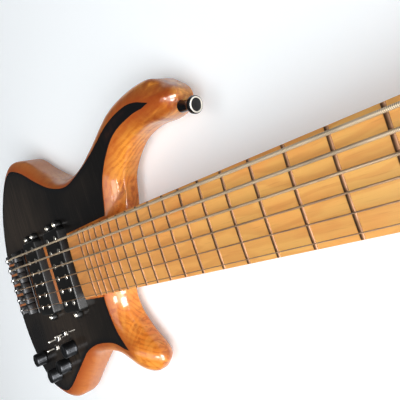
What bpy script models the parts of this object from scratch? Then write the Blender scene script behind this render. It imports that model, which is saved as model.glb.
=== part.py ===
"""Six-string electric bass guitar with a neck-through body, lying on its back.

X runs from the tail to the headstock, Y towards the upper horn and the thickest string, Z up off the
flat back. The origin is on the back, under the line where the string length ends at the bridge.
"""
import math

import bmesh
import bpy
from mathutils import Matrix, Vector

MM = 0.001
GAP = 0.3

# Driving dimensions in millimetres
STRING_LENGTH = 889.0
FRET_COUNT = 24
BODY_TOP = 42.0
NECK_TOP = 45.5
BOARD_TOP = 52.0
BOARD_END = 189.0
BOARD_RADIUS = 600.0
HALF_WIDTH_AT_NUT = 26.1
HALF_WIDTH_AT_LAST_FRET = 37.6
CENTRE_BLOCK_HALF_WIDTH = 41.0
CAP_THICKNESS = 3.2
STRINGS = (
    # radius, side position at the bridge, side position at the nut, how far back its saddle stands
    (1.3, 39.75, 20.0, 8.0),
    (1.15, 23.85, 12.0, 7.0),
    (0.95, 7.95, 4.0, 6.0),
    (0.65, -7.95, -4.0, 5.0),
    (0.48, -23.85, -12.0, 4.5),
    (0.36, -39.75, -20.0, 4.0),
)
STRING_BOTTOM_AT_SADDLE = 57.5
STRING_BOTTOM_AT_NUT = 53.4
PICKUP_CENTRES = (57.0, 144.8)
PICKUP_WIDTH = 49.0
PICKUP_LENGTH = 104.0
PICKUP_TOP = 53.0
POLE_SPREAD = 13.0
POLE_PITCH = 16.0
POLE_RADIUS = 3.8
KNOB_PLACES = ((89.5, -100.5), (50.5, -125.0), (4.0, -140.5), (-42.0, -118.5))
TOGGLE_PLACES = ((68.0, -82.0), (38.0, -89.0), (22.0, -102.5))
HEADSTOCK_START = 894.5
HEADSTOCK_FACE = 44.6
HEADSTOCK_THICKNESS = 14.0
HEADSTOCK_TILT = math.radians(5.0)
TUNER_PLACES = ((48.0, 27.0), (90.0, 22.0), (132.0, 17.0))

# Once round the body: edge x and y, height of its foot, how far the back below it is drawn to the tail,
# height of its shoulder, then crest x, y and height
BODY_STATIONS = (
    (295.5, 45.5, 10.0, 18.0, 22.0, 278.0, 44.0, 42.0),
    (309.0, 74.0, 10.0, 17.0, 23.0, 296.0, 78.0, 42.0),
    (339.5, 94.5, 10.0, 17.0, 25.0, 332.5, 104.5, 42.0),
    (372.0, 99.5, 11.0, 18.0, 28.0, 372.0, 110.8, 42.0),
    (400.0, 95.8, 12.0, 18.0, 29.0, 400.0, 108.5, 42.0),
    (417.0, 96.3, 13.0, 19.0, 30.0, 412.5, 106.0, 41.2),
    (425.0, 100.7, 14.0, 20.0, 28.5, 417.0, 106.0, 40.7),
    (428.5, 107.2, 14.0, 20.0, 28.0, 418.5, 107.5, 40.5),
    (426.2, 113.8, 14.0, 20.0, 28.0, 416.5, 109.3, 40.7),
    (418.5, 120.5, 13.0, 19.0, 29.0, 411.5, 111.8, 41.2),
    (402.0, 131.3, 12.0, 16.0, 33.0, 397.0, 114.5, 42.0),
    (368.0, 133.6, 10.0, 10.0, 36.0, 370.0, 121.5, 42.0),
    (330.0, 128.6, 8.0, 4.0, 38.0, 331.0, 119.0, 42.0),
    (285.0, 112.3, 7.0, 0.0, 38.0, 286.0, 105.5, 42.0),
    (247.0, 100.0, 8.0, 0.0, 38.0, 246.5, 96.5, 42.0),
    (206.5, 100.0, 8.0, 6.0, 34.0, 204.5, 91.5, 42.0),
    (165.5, 109.5, 8.0, 12.0, 29.0, 161.5, 101.0, 42.0),
    (120.5, 134.0, 8.0, 12.0, 28.0, 121.0, 120.0, 42.0),
    (75.5, 161.5, 7.0, 8.0, 31.0, 73.0, 146.5, 42.0),
    (29.0, 168.5, 7.0, 3.0, 37.0, 30.0, 158.5, 42.0),
    (-16.5, 146.0, 7.0, 0.0, 38.0, -13.0, 143.0, 42.0),
    (-65.0, 102.0, 7.0, 0.0, 38.0, -60.5, 100.0, 42.0),
    (-94.5, 42.0, 7.0, 0.0, 38.0, -91.0, 41.5, 42.0),
    (-100.5, -17.0, 7.0, 0.0, 38.0, -97.5, -17.0, 42.0),
    (-95.0, -81.5, 7.0, 0.0, 38.0, -92.5, -80.5, 42.0),
    (-74.5, -128.5, 7.0, 0.0, 38.0, -72.5, -127.0, 42.0),
    (-41.0, -159.0, 7.0, 0.0, 37.5, -39.5, -157.5, 42.0),
    (-12.0, -174.0, 8.0, 2.0, 35.0, -15.0, -165.0, 42.0),
    (15.0, -180.0, 12.0, 5.0, 30.0, 10.0, -167.0, 42.0),
    (42.0, -173.5, 14.0, 7.0, 26.0, 35.0, -159.5, 42.0),
    (66.0, -158.5, 14.0, 8.0, 23.0, 62.0, -144.5, 42.0),
    (101.0, -136.0, 12.0, 9.0, 23.0, 97.0, -124.0, 42.0),
    (139.0, -112.5, 8.0, 8.0, 29.0, 129.5, -106.0, 42.0),
    (175.0, -106.8, 7.0, 8.0, 33.0, 166.5, -96.0, 42.0),
    (206.5, -111.0, 7.0, 6.0, 31.0, 207.0, -94.5, 42.0),
    (237.5, -127.0, 10.0, 9.0, 28.0, 231.0, -100.6, 42.0),
    (254.5, -131.8, 14.0, 11.0, 23.0, 238.0, -103.0, 42.0),
    (266.0, -127.0, 16.0, 12.0, 21.0, 240.8, -104.0, 42.0),
    (272.5, -119.0, 16.0, 13.0, 21.0, 241.3, -102.6, 42.0),
    (269.0, -107.0, 14.0, 15.0, 21.0, 239.0, -99.0, 42.0),
    (249.2, -86.6, 11.0, 17.0, 21.0, 227.5, -84.0, 42.0),
    (236.0, -62.0, 10.0, 18.0, 22.0, 220.5, -61.0, 42.0),
    (239.0, -37.0, 10.0, 18.0, 22.0, 221.5, -36.0, 42.0),
    (257.0, -4.0, 10.0, 18.0, 22.0, 245.0, -4.0, 42.0),
    (284.0, 27.0, 10.0, 18.0, 22.0, 268.0, 29.5, 42.0),
)
POINTS_PER_STATION = 3
HORN_STRIP = (4, 10)
STAIN_TIPS = (
    # the crest past this x on this side narrows to one point, and how that point draws back as the stain does
    (393.0, 1, (403.5, 110.3), (-3.5, 1.0)),
    (233.0, -1, (240.5, -102.6), (-2.1, 1.6)),
)

for old in list(bpy.data.objects):
    bpy.data.objects.remove(old)

parts = bpy.data.collections.new("bass_guitar")
bpy.context.scene.collection.children.link(parts)
cutters = bpy.data.collections.new("cutters")
cutters.hide_render = True
bpy.context.scene.collection.children.link(cutters)


def make_material(name, colour, metallic, roughness):
    material = bpy.data.materials.new(name)
    material.use_nodes = True
    shader = material.node_tree.nodes["Principled BSDF"]
    shader.inputs["Base Color"].default_value = (*colour, 1.0)
    shader.inputs["Metallic"].default_value = metallic
    shader.inputs["Roughness"].default_value = roughness
    return material


natural_wood = make_material("natural_wood", (0.75, 0.34, 0.08), 0.0, 0.2)
stained_wood = make_material("stained_wood", (0.02, 0.018, 0.017), 0.0, 0.3)
maple = make_material("maple", (0.76, 0.42, 0.17), 0.0, 0.35)
fret_wire = make_material("fret_wire", (0.7, 0.66, 0.6), 1.0, 0.3)
string_wire = make_material("string_wire", (0.72, 0.68, 0.6), 1.0, 0.35)
black_metal = make_material("black_metal", (0.02, 0.02, 0.02), 1.0, 0.35)
black_plastic = make_material("black_plastic", (0.015, 0.015, 0.015), 0.0, 0.4)
nickel = make_material("nickel", (0.7, 0.68, 0.64), 1.0, 0.25)
steel = make_material("steel", (0.55, 0.55, 0.55), 1.0, 0.4)
battery_case = make_material("battery_case", (0.05, 0.05, 0.06), 0.2, 0.4)


def finish(name, bm, material, location=(0, 0, 0), turn=None):
    """Close a mesh into a named object, in millimetres turned to metres, with its round sides smooth."""
    bmesh.ops.recalc_face_normals(bm, faces=bm.faces)
    for face in bm.faces:
        face.smooth = True
    for edge in bm.edges:
        if len(edge.link_faces) == 2 and edge.calc_face_angle() > math.radians(35):
            edge.smooth = False
    bmesh.ops.scale(bm, vec=(MM, MM, MM), verts=bm.verts)
    mesh = bpy.data.meshes.new(name)
    bm.to_mesh(mesh)
    bm.free()
    thing = bpy.data.objects.new(name, mesh)
    if material is None:
        cutters.objects.link(thing)
        thing.display_type = "WIRE"
        thing.hide_render = True
    else:
        parts.objects.link(thing)
        mesh.materials.append(material)
    place = Matrix.Translation(Vector(location) * MM)
    thing.matrix_world = place @ turn.to_4x4() if turn else place
    return thing


def modelled(thing):
    """A bmesh of an object as its modifiers or its bevel make it, with loose caps welded on."""
    bpy.context.scene.collection.objects.link(thing)
    bpy.context.view_layer.update()
    mesh = bpy.data.meshes.new_from_object(thing.evaluated_get(bpy.context.evaluated_depsgraph_get()))
    bpy.data.objects.remove(thing)
    bm = bmesh.new()
    bm.from_mesh(mesh)
    bpy.data.meshes.remove(mesh)
    bmesh.ops.remove_doubles(bm, verts=bm.verts, dist=0.002)
    return bm


def add_loft(bm, rings):
    """Skin rings of equal point count and close both ends."""
    rows = [[bm.verts.new(point) for point in ring] for ring in rings]
    for low, high in zip(rows, rows[1:]):
        for here in range(len(low)):
            after = (here + 1) % len(low)
            bm.faces.new((low[here], low[after], high[after], high[here]))
    bm.faces.new(rows[0])
    bm.faces.new(rows[-1])


def add_box(bm, x_range, y_range, z_range):
    centre = [(low + high) / 2 for low, high in (x_range, y_range, z_range)]
    size = [high - low for low, high in (x_range, y_range, z_range)]
    bmesh.ops.create_cube(bm, size=1.0, matrix=Matrix.Translation(centre) @ Matrix.Diagonal((*size, 1.0)))


def box(name, x_range, y_range, z_range, material=None, **placing):
    bm = bmesh.new()
    add_box(bm, x_range, y_range, z_range)
    return finish(name, bm, material, **placing)


def add_rod(bm, radius, low, high, sides, x=0.0, y=0.0):
    place = Matrix.Translation((x, y, (low + high) / 2))
    bmesh.ops.create_cone(
        bm, cap_ends=True, segments=sides, radius1=radius, radius2=radius, depth=high - low, matrix=place,
    )


def rod(name, radius, low, high, sides, material=None, **placing):
    bm = bmesh.new()
    add_rod(bm, radius, low, high, sides)
    return finish(name, bm, material, **placing)


def turned(name, profile, steps, material=None, **placing):
    """A profile of (radius, height) points, down its outer side, turned round Z by a Screw modifier."""
    mesh = bpy.data.meshes.new(name)
    links = [(here, here + 1) for here in range(len(profile) - 1)]
    mesh.from_pydata([(radius, 0.0, height) for radius, height in profile], links, [])
    outline = bpy.data.objects.new(name, mesh)
    screw = outline.modifiers.new("turn", "SCREW")
    screw.steps = screw.render_steps = steps
    screw.use_merge_vertices = True
    screw.merge_threshold = 0.0001
    return finish(name, modelled(outline), material, **placing)


def plate(name, outline, low, high, material=None, **placing):
    """A flat outline as a filled curve, extruded from one height to another."""
    curve = bpy.data.curves.new(name, "CURVE")
    curve.dimensions = "2D"
    curve.fill_mode = "BOTH"
    curve.extrude = (high - low) / 2
    spline = curve.splines.new("POLY")
    spline.points.add(len(outline) - 1)
    for point, (x, y) in zip(spline.points, outline):
        point.co = (x, y, 0.0, 1.0)
    spline.use_cyclic_u = True
    bm = modelled(bpy.data.objects.new(name, curve))
    bmesh.ops.translate(bm, vec=(0.0, 0.0, (low + high) / 2), verts=bm.verts)
    return finish(name, bm, material, **placing)


def boolean(piece, tool, operation="DIFFERENCE"):
    modifier = piece.modifiers.new(f"{operation.lower()}_{tool.name}", "BOOLEAN")
    modifier.operation = operation
    modifier.solver = "EXACT"
    modifier.material_mode = "TRANSFER"
    modifier.object = tool


def smooth_loop(points, steps):
    """A closed curve through every point, as Catmull-Rom spans of equal steps."""
    found = []
    count = len(points)
    for here in range(count):
        before, start, end, after = (Vector(points[(here + k) % count]) for k in (-1, 0, 1, 2))
        for step in range(steps):
            t = step / steps
            found.append(
                0.5 * (2 * start + (end - before) * t + (2 * before - 5 * start + 4 * end - after) * t**2
                       + (3 * start - before - 3 * end + after) * t**3)
            )
    return found


def inset_point(outline, here, amount):
    """A point of a closed outline moved inwards; the outline runs anticlockwise."""
    back = Vector(outline[here - 1])
    on = Vector(outline[(here + 1) % len(outline)])
    along = (on - back).normalized()
    return outline[here][0] - along.y * amount, outline[here][1] + along.x * amount


def inset(outline, amount):
    return [inset_point(outline, here, amount) for here in range(len(outline))]


def rounded_rectangle(length, width, radius, centre=(0.0, 0.0), steps=4):
    corners = ((1, 1, 0), (-1, 1, 90), (-1, -1, 180), (1, -1, 270))
    found = []
    for side_x, side_y, first in corners:
        for step in range(steps + 1):
            angle = math.radians(first + 90 * step / steps)
            found.append((
                centre[0] + side_x * (length / 2 - radius) + radius * math.cos(angle),
                centre[1] + side_y * (width / 2 - radius) + radius * math.sin(angle),
            ))
    return found


def turn_to(direction):
    return Vector(direction).to_track_quat("Z", "Y").to_matrix()


def half_width(x):
    """Half the width of the fretboard at a place along it."""
    share = (STRING_LENGTH - x) / (STRING_LENGTH - STRING_LENGTH * 0.25)
    return HALF_WIDTH_AT_NUT + (HALF_WIDTH_AT_LAST_FRET - HALF_WIDTH_AT_NUT) * share


def board_height(y):
    """Height of the fretboard's rounded face."""
    return BOARD_TOP - BOARD_RADIUS + math.sqrt(BOARD_RADIUS**2 - y**2)


# Body: one skin over the back, the edge wall and the carved slope up to the flat top
BACK_INSET = 0.45
BACK_INSET_MOST = 4.5
stations = smooth_loop(BODY_STATIONS, POINTS_PER_STATION)
edge = [(s[0], s[1]) for s in stations]
foot_heights = [s[2] for s in stations]
back_pulls = [s[3] for s in stations]
shoulder_heights = [s[4] for s in stations]
crest = [(s[5], s[6]) for s in stations]
crest_heights = [min(s[7], BODY_TOP) for s in stations]


def back_ring(share, rise):
    """A ring on the back's rounded edge, drawn in all round and drawn back at the horns and bouts."""
    ring = []
    for here, (foot, pull) in enumerate(zip(foot_heights, back_pulls)):
        x, y = inset_point(edge, here, min(BACK_INSET * foot, BACK_INSET_MOST) * share)
        ring.append((x - pull * share, y, foot * rise))
    return ring


def body_ring(share, rise):
    """A ring between the edge and the crest, at a share of the way in and a share of the way up."""
    ring = []
    for (ex, ey), (cx, cy), shoulder, top in zip(edge, crest, shoulder_heights, crest_heights):
        ring.append((ex + (cx - ex) * share, ey + (cy - ey) * share, shoulder + (top - shoulder) * rise))
    return ring


def body_mesh():
    rings = [
        back_ring(1.0, 0.0),
        back_ring(0.45, 0.36),
        back_ring(0.0, 1.0),
        [(x, y, z - 3.0) for (x, y), z in zip(edge, shoulder_heights)],
        body_ring(0.16, 0.35),
        body_ring(0.62, 0.82),
        body_ring(1.0, 1.0),
    ]
    bm = bmesh.new()
    rows = [[bm.verts.new(point) for point in ring] for ring in rings]
    count = len(edge)
    for low, high in zip(rows, rows[1:]):
        for here in range(count):
            after = (here + 1) % count
            bm.faces.new((low[here], low[after], high[after], high[here]))
    bm.faces.new(rows[0])
    # The horn's end slopes, so its top is a strip of its own between two matching stations
    top = rows[-1]
    first, last = (POINTS_PER_STATION * station for station in HORN_STRIP)
    low, high = first, last
    while high - low > 3:
        bm.faces.new((top[low], top[low + 1], top[high - 1], top[high]))
        low += 1
        high -= 1
    bm.faces.new(top[low:high + 1])
    bm.faces.new(top[last:] + top[:first + 1])
    bm.normal_update()
    bmesh.ops.triangulate(bm, faces=[face for face in bm.faces if len(face.verts) > 4])
    return bm


def stain_loop(amount):
    """The crest drawn in by an amount, with each horn's end narrowed to its tip."""
    loop = [tuple(point) for point in inset(crest, amount)]
    for start, side, tip, back in STAIN_TIPS:
        past = [here for here, (x, y) in enumerate(loop) if x >= start and side * y > 90.0]
        drawn_tip = (tip[0] + back[0] * amount, tip[1] + back[1] * amount)
        loop[past[0]:past[-1] + 1] = [drawn_tip]
    return loop


block_side = CENTRE_BLOCK_HALF_WIDTH
wing_bass = finish("wing_bass", body_mesh(), natural_wood)
wing_treble = finish("wing_treble", body_mesh(), natural_wood)
neck = finish("neck", body_mesh(), natural_wood)
half_bass = box("half_bass", (-200, 500), (block_side + GAP / 2, 250), (-20, 80))
half_treble = box("half_treble", (-200, 500), (-250, -block_side - GAP / 2), (-20, 80))
middle = box("middle", (-200, 500), (-block_side + GAP / 2, block_side - GAP / 2), (-20, 80))
boolean(wing_bass, half_bass, "INTERSECT")
boolean(wing_treble, half_treble, "INTERSECT")
boolean(neck, middle, "INTERSECT")

# Dark top: a thin cap let into each wing
cap_floor = BODY_TOP - CAP_THICKNESS - GAP
rebate = plate("rebate", stain_loop(0.5), cap_floor, BODY_TOP + 3)
boolean(wing_bass, rebate)
boolean(wing_treble, rebate)
cap_bass = plate("cap_bass", stain_loop(0.8), cap_floor + GAP, BODY_TOP, stained_wood)
cap_treble = plate("cap_treble", stain_loop(0.8), cap_floor + GAP, BODY_TOP, stained_wood)
boolean(cap_bass, half_bass, "INTERSECT")
boolean(cap_treble, half_treble, "INTERSECT")

# Neck: a rounded shaft that grows out of the centre block, then the headstock
SHAFT_SECTIONS = (
    # place along, lowest height
    (BOARD_END + 0.3, 3.0),
    (240.0, 5.0),
    (266.0, 9.0),
    (288.0, 16.0),
    (312.0, 22.5),
    (345.0, 26.5),
    (444.0, 28.2),
    (640.0, 29.3),
    (840.0, 30.4),
    (HEADSTOCK_START, 30.6),
)
bm = bmesh.new()
shaft_rings = []
for along, bottom in SHAFT_SECTIONS:
    wide = half_width(along)
    wall = NECK_TOP - 2.5
    ring = [(along, wide, NECK_TOP), (along, -wide, NECK_TOP)]
    for step in range(13):
        angle = math.pi * step / 12
        across = math.copysign(abs(math.cos(angle)) ** 0.8, -math.cos(angle))
        ring.append((along, wide * across, wall - (wall - bottom) * math.sin(angle) ** 0.9))
    shaft_rings.append(ring)
add_loft(bm, shaft_rings)
shaft = finish("shaft", bm, None)
boolean(neck, shaft, "UNION")


def on_headstock(along, across, up):
    """A place on the tilted headstock: along it from the nut, across it, and up from its face."""
    cosine, sine = math.cos(HEADSTOCK_TILT), math.sin(HEADSTOCK_TILT)
    return (
        HEADSTOCK_START + along * cosine + up * sine,
        across,
        HEADSTOCK_FACE - along * sine + up * cosine,
    )


HEADSTOCK_SIDE = (
    (-6.0, 26.4), (8.0, 27.5), (20.0, 33.5), (34.0, 42.0), (50.0, 44.5), (70.0, 42.5), (95.0, 39.0),
    (120.0, 36.0), (142.0, 33.5), (160.0, 30.0), (173.0, 23.0), (180.0, 11.0),
)
headstock_turn = Matrix.Rotation(HEADSTOCK_TILT, 3, "Y")
headstock_outline = [(x, -y) for x, y in HEADSTOCK_SIDE] + [(x, y) for x, y in reversed(HEADSTOCK_SIDE)]
headstock = plate(
    "headstock", headstock_outline, -HEADSTOCK_THICKNESS, 0.0,
    location=on_headstock(0, 0, 0), turn=headstock_turn,
)
boolean(neck, headstock, "UNION")

# Truss rod in a slot under the board, reached at the headstock under a small cover
rod_slot = box("rod_slot", (230.0, 912.0), (-3.3, 3.3), (36.0, 60.0))
boolean(neck, rod_slot)
truss_rod = box("truss_rod", (230.5, 906.0), (-3.0, 3.0), (36.3, 42.2), steel)
rod_nut = rod("rod_nut", 3.0, -1.0, 5.0, 12, location=(906.0, 0.0, 39.4), turn=turn_to((1, 0, 0)))
boolean(truss_rod, rod_nut, "UNION")
rod_cover = plate(
    "truss_rod_cover", rounded_rectangle(32.0, 18.0, 5.0, (19.5, 0.0)), GAP, 2.0, black_plastic,
    location=on_headstock(0, 0, 0), turn=headstock_turn,
)

# Fretboard with its frets
BOARD_SPOTS = 6
FRET_SPOTS = 4
bm = bmesh.new()
board_rings = []
for along in (BOARD_END, STRING_LENGTH - GAP):
    wide = half_width(along)
    ring = [(along, -wide, NECK_TOP + GAP), (along, wide, NECK_TOP + GAP)]
    for spot in range(BOARD_SPOTS + 1):
        across = wide * (1 - 2 * spot / BOARD_SPOTS)
        ring.append((along, across, board_height(across)))
    board_rings.append(ring)
add_loft(bm, board_rings)
fretboard = finish("fretboard", bm, maple)

FRET_CROWN = ((-1.35, -0.6), (-1.2, 0.3), (0.0, 1.0), (1.2, 0.3), (1.35, -0.6))
bm = bmesh.new()
for number in range(1, FRET_COUNT + 1):
    along = STRING_LENGTH * 2 ** (-number / 12)
    wide = half_width(along) - 0.4
    fret_rings = []
    for spot in range(FRET_SPOTS + 1):
        across = wide * (1 - 2 * spot / FRET_SPOTS)
        fret_rings.append([(along + x, across, board_height(across) + z) for x, z in FRET_CROWN])
    add_loft(bm, fret_rings)
frets = finish("frets", bm, None)
frets.data.materials.append(fret_wire)
boolean(fretboard, frets, "UNION")

# Nut with a slot for each string
nut = box("nut", (STRING_LENGTH, STRING_LENGTH + 5.0), (-25.8, 25.8), (NECK_TOP + GAP, 54.8), black_plastic)
bm = bmesh.new()
for radius, _, at_nut, _ in STRINGS:
    side = radius + 0.35
    add_box(bm, (880.0, 900.0), (at_nut - side, at_nut + side), (STRING_BOTTOM_AT_NUT - GAP, 60.0))
nut_slots = finish("nut_slots", bm, None)
boolean(nut, nut_slots)

# Bridge plate with a toothed wall at the tail, one tooth for each string
BRIDGE_FLOOR = BODY_TOP + GAP
TOOTH_HALF_WIDTH = 6.2
bridge = box("bridge_plate", (-51.0, -1.0), (-49.0, 49.0), (BRIDGE_FLOOR, BRIDGE_FLOOR + 3.0), black_metal)
teeth = bmesh.new()
bridge_slots = bmesh.new()
for radius, at_bridge, _, _ in STRINGS:
    add_box(
        teeth, (-51.0, -43.0), (at_bridge - TOOTH_HALF_WIDTH, at_bridge + TOOTH_HALF_WIDTH),
        (BRIDGE_FLOOR + 1.0, 55.5),
    )
    side = radius + 0.4
    add_box(bridge_slots, (-56.0, -38.0), (at_bridge - side, at_bridge + side), (51.3, 60.0))
boolean(bridge, finish("bridge_teeth", teeth, None), "UNION")
boolean(bridge, finish("bridge_slots", bridge_slots, None))

SADDLE_HALF_WIDTH = 7.3
SADDLE_SIDE = ((-17.0, -11.3), (1.5, -11.3), (1.5, -3.0), (0.0, 0.0), (-1.6, -0.4), (-17.0, -3.5))
saddle_turn = Matrix.Rotation(math.radians(90.0), 3, "X")
for number, (_, at_bridge, _, setback) in enumerate(STRINGS, 1):
    plate(
        f"saddle_{number}", SADDLE_SIDE, -SADDLE_HALF_WIDTH, SADDLE_HALF_WIDTH, black_metal,
        location=(-setback, at_bridge, STRING_BOTTOM_AT_SADDLE - GAP), turn=saddle_turn,
    )

# Strings: bridge wall, saddle, nut, then alongside the tuning post
SADDLE_TRAVEL = 3.5
POST_WAIST = 3.0
WINDING_HEIGHT = 9.0
tuner_spots = []
for side in (1, -1):
    order = TUNER_PLACES if side == 1 else TUNER_PLACES[::-1]
    tuner_spots += [(along, side * across, side) for along, across in order]

for number, (radius, at_bridge, at_nut, setback) in enumerate(STRINGS, 1):
    along, across, side = tuner_spots[number - 1]
    beside = across - side * (POST_WAIST + GAP + radius)
    path = [
        (-48.5, at_bridge, 51.9 + radius),
        (-43.0, at_bridge, 52.6 + radius),
        (-setback - SADDLE_TRAVEL, at_bridge, STRING_BOTTOM_AT_SADDLE + radius),
        (-setback + SADDLE_TRAVEL, at_bridge, STRING_BOTTOM_AT_SADDLE + radius),
        (STRING_LENGTH, at_nut, STRING_BOTTOM_AT_NUT + radius),
        (STRING_LENGTH + 4.5, at_nut, STRING_BOTTOM_AT_NUT + radius - 0.1),
        on_headstock(along - 10.0, beside, WINDING_HEIGHT + 0.6),
        on_headstock(along + 2.0, beside, WINDING_HEIGHT),
    ]
    wire = bpy.data.curves.new(f"string_{number}", "CURVE")
    wire.dimensions = "3D"
    wire.bevel_depth = radius * MM
    wire.bevel_resolution = 2
    wire.use_fill_caps = True
    wire.materials.append(string_wire)
    spline = wire.splines.new("POLY")
    spline.points.add(len(path) - 1)
    for point, place in zip(spline.points, path):
        point.co = (*(Vector(place) * MM), 1.0)
    parts.objects.link(bpy.data.objects.new(f"string_{number}", wire))

# Tuning machines: housing, key and post for each string
HOUSING_LOW = -HEADSTOCK_THICKNESS - GAP - 9.5
HOUSING_HIGH = -HEADSTOCK_THICKNESS - GAP
KEY_LEVEL = -HEADSTOCK_THICKNESS - GAP - 4.8
POST_PROFILE = (
    (0.0, 16.8), (3.1, 16.8), (3.7, 16.0), (3.7, 13.4), (POST_WAIST, 12.0), (POST_WAIST, 6.4), (3.4, 5.2),
    (3.4, HOUSING_LOW + 3.0), (0.0, HOUSING_LOW + 3.0),
)
COLLAR_PROFILE = (
    (0.0, 2.3), (6.6, 2.3), (8.0, 1.4), (8.0, GAP), (5.6, GAP), (5.6, HOUSING_LOW + 2.0),
    (0.0, HOUSING_LOW + 2.0),
)
KEY_PROFILE = ((0.0, 20.0), (3.6, 20.0), (3.6, 17.5), (2.3, 17.0), (2.3, 4.4), (0.0, 4.4))
for number, (along, across, side) in enumerate(tuner_spots, 1):
    spot = on_headstock(along, across, 0)
    facing = headstock_turn @ Matrix.Rotation(0.0 if side == 1 else math.pi, 3, "Z")
    place = {"location": spot, "turn": facing}
    housing_outline = rounded_rectangle(25.0, 23.0, 4.0, (0.0, 1.5), 2)
    name = f"tuner_housing_{number}"
    housing = plate(name, housing_outline, HOUSING_LOW, HOUSING_HIGH, black_metal, **place)
    boolean(housing, turned(f"collar_{number}", COLLAR_PROFILE, 14, **place), "UNION")
    boolean(housing, rod(f"post_bore_{number}", 3.75, HOUSING_LOW + 2.6, 30.0, 12, **place))
    key_spot = on_headstock(along, across, KEY_LEVEL)
    key_turn = turn_to((0, side, 0))
    boolean(housing, rod(f"key_bore_{number}", 2.7, 3.0, 30.0, 10, location=key_spot, turn=key_turn))
    turned(f"tuner_post_{number}", POST_PROFILE, 12, black_metal, **place)

    key = turned(f"tuner_key_{number}", KEY_PROFILE, 10, black_metal, location=key_spot, turn=key_turn)
    bm = bmesh.new()
    bmesh.ops.create_uvsphere(bm, u_segments=12, v_segments=6, radius=1.0)
    bmesh.ops.scale(bm, vec=(10.0, 3.4, 12.0), verts=bm.verts)
    bmesh.ops.translate(bm, vec=(0.0, 0.0, 30.5), verts=bm.verts)
    boolean(key, finish(f"paddle_{number}", bm, None, location=key_spot, turn=key_turn), "UNION")
    boolean(neck, rod(f"post_hole_{number}", 6.1, -40.0, 20.0, 16, location=spot, turn=headstock_turn))

# Pickups: a hollow cover over a core whose pole pieces come through its top, on three screw ears
PICKUP_EARS = ((-1, 1), (1, 1), (0, -1))
EAR_TOP = 49.5
for label, centre in zip(("bridge", "neck"), PICKUP_CENTRES):
    place = (centre, 0.0, 0.0)
    outline = rounded_rectangle(PICKUP_WIDTH, PICKUP_LENGTH, 5.0)
    cover = plate(f"{label}_pickup_cover", outline, 30.0, PICKUP_TOP, black_plastic, location=place)
    ears = bmesh.new()
    for fore, side in PICKUP_EARS:
        add_rod(ears, 5.4, BODY_TOP + GAP, EAR_TOP, 10, fore * POLE_SPREAD, side * (PICKUP_LENGTH / 2 + 4.3))
    boolean(cover, finish(f"{label}_ears", ears, None, location=place), "UNION")
    inside = rounded_rectangle(PICKUP_WIDTH - 4.0, PICKUP_LENGTH - 4.0, 3.0)
    boolean(cover, plate(f"{label}_hollow", inside, 20.0, PICKUP_TOP - 2.0, location=place))
    poles = bmesh.new()
    holes = bmesh.new()
    for across in range(6):
        y = POLE_PITCH * (across - 2.5)
        for x in (-POLE_SPREAD, POLE_SPREAD):
            add_rod(poles, POLE_RADIUS, 45.0, PICKUP_TOP + 0.4, 10, x, y)
            add_rod(holes, POLE_RADIUS + 0.4, 45.0, PICKUP_TOP + 5.0, 10, x, y)
    boolean(cover, finish(f"{label}_pole_holes", holes, None, location=place))
    filling = rounded_rectangle(PICKUP_WIDTH - 4.8, PICKUP_LENGTH - 4.8, 2.6)
    core = plate(f"{label}_pickup_core", filling, 30.6, PICKUP_TOP - 2.4, black_plastic, location=place)
    pole_pieces = finish(f"{label}_pole_pieces", poles, None, location=place)
    pole_pieces.data.materials.append(nickel)
    boolean(core, pole_pieces, "UNION")
    pocket_outline = rounded_rectangle(PICKUP_WIDTH + 0.8, PICKUP_LENGTH + 0.8, 5.4)
    pocket = plate(f"{label}_pocket", pocket_outline, 27.0, 60.0, location=place)
    for piece in (neck, wing_bass, wing_treble, cap_bass, cap_treble):
        boolean(piece, pocket)

# Controls: four pots and three toggle switches on one board in a pocket cut from the back
CONTROL_POCKET = (
    (-60.0, -108.0), (-58.0, -125.0), (-43.0, -137.0), (-18.0, -149.0), (6.0, -154.0), (34.0, -151.0),
    (60.0, -142.0), (86.0, -127.0), (106.0, -113.0), (111.0, -98.0), (104.0, -82.0), (84.0, -72.0),
    (48.0, -73.0), (24.0, -87.0), (4.0, -94.0), (-26.0, -98.0), (-48.0, -101.0),
)
pocket_loop = [tuple(point) for point in smooth_loop(CONTROL_POCKET, 2)]
pocket_top = 33.0
control_pocket = plate("control_pocket", pocket_loop, -5.0, pocket_top)
boolean(wing_treble, control_pocket)
boolean(wing_treble, plate("cover_seat", inset(pocket_loop, -4.5), -5.0, 2.8))
plate("control_cover", inset(pocket_loop, -4.1), 0.4, 2.5, black_plastic)

control_board = plate("control_board", inset(pocket_loop, 3.0), 14.0, 15.6, black_plastic)
POT_PROFILE = (
    (0.0, 54.0), (3.0, 54.0), (3.0, 45.0), (3.9, 45.0), (3.9, pocket_top - 0.4), (8.0, pocket_top - 0.4),
    (8.0, 15.0), (0.0, 15.0),
)
SWITCH_PROFILE = (
    (0.0, 41.0), (1.9, 41.0), (1.9, 46.5), (3.0, 46.5), (3.0, pocket_top - 0.4), (5.0, pocket_top - 0.4),
    (5.0, 15.0), (0.0, 15.0),
)
top_holes = bmesh.new()
for label, places, profile, hole_radius in (
    ("pot", KNOB_PLACES, POT_PROFILE, 4.3), ("switch", TOGGLE_PLACES, SWITCH_PROFILE, 3.4),
):
    for number, (x, y) in enumerate(places, 1):
        control = turned(f"{label}_{number}", profile, 12, location=(x, y, 0.0))
        control.data.materials.append(steel)
        boolean(control_board, control, "UNION")
        add_rod(top_holes, hole_radius, pocket_top - 2.0, 60.0, 12, x, y)
control_holes = finish("control_holes", top_holes, None)
boolean(wing_treble, control_holes)
boolean(cap_treble, control_holes)

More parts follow.
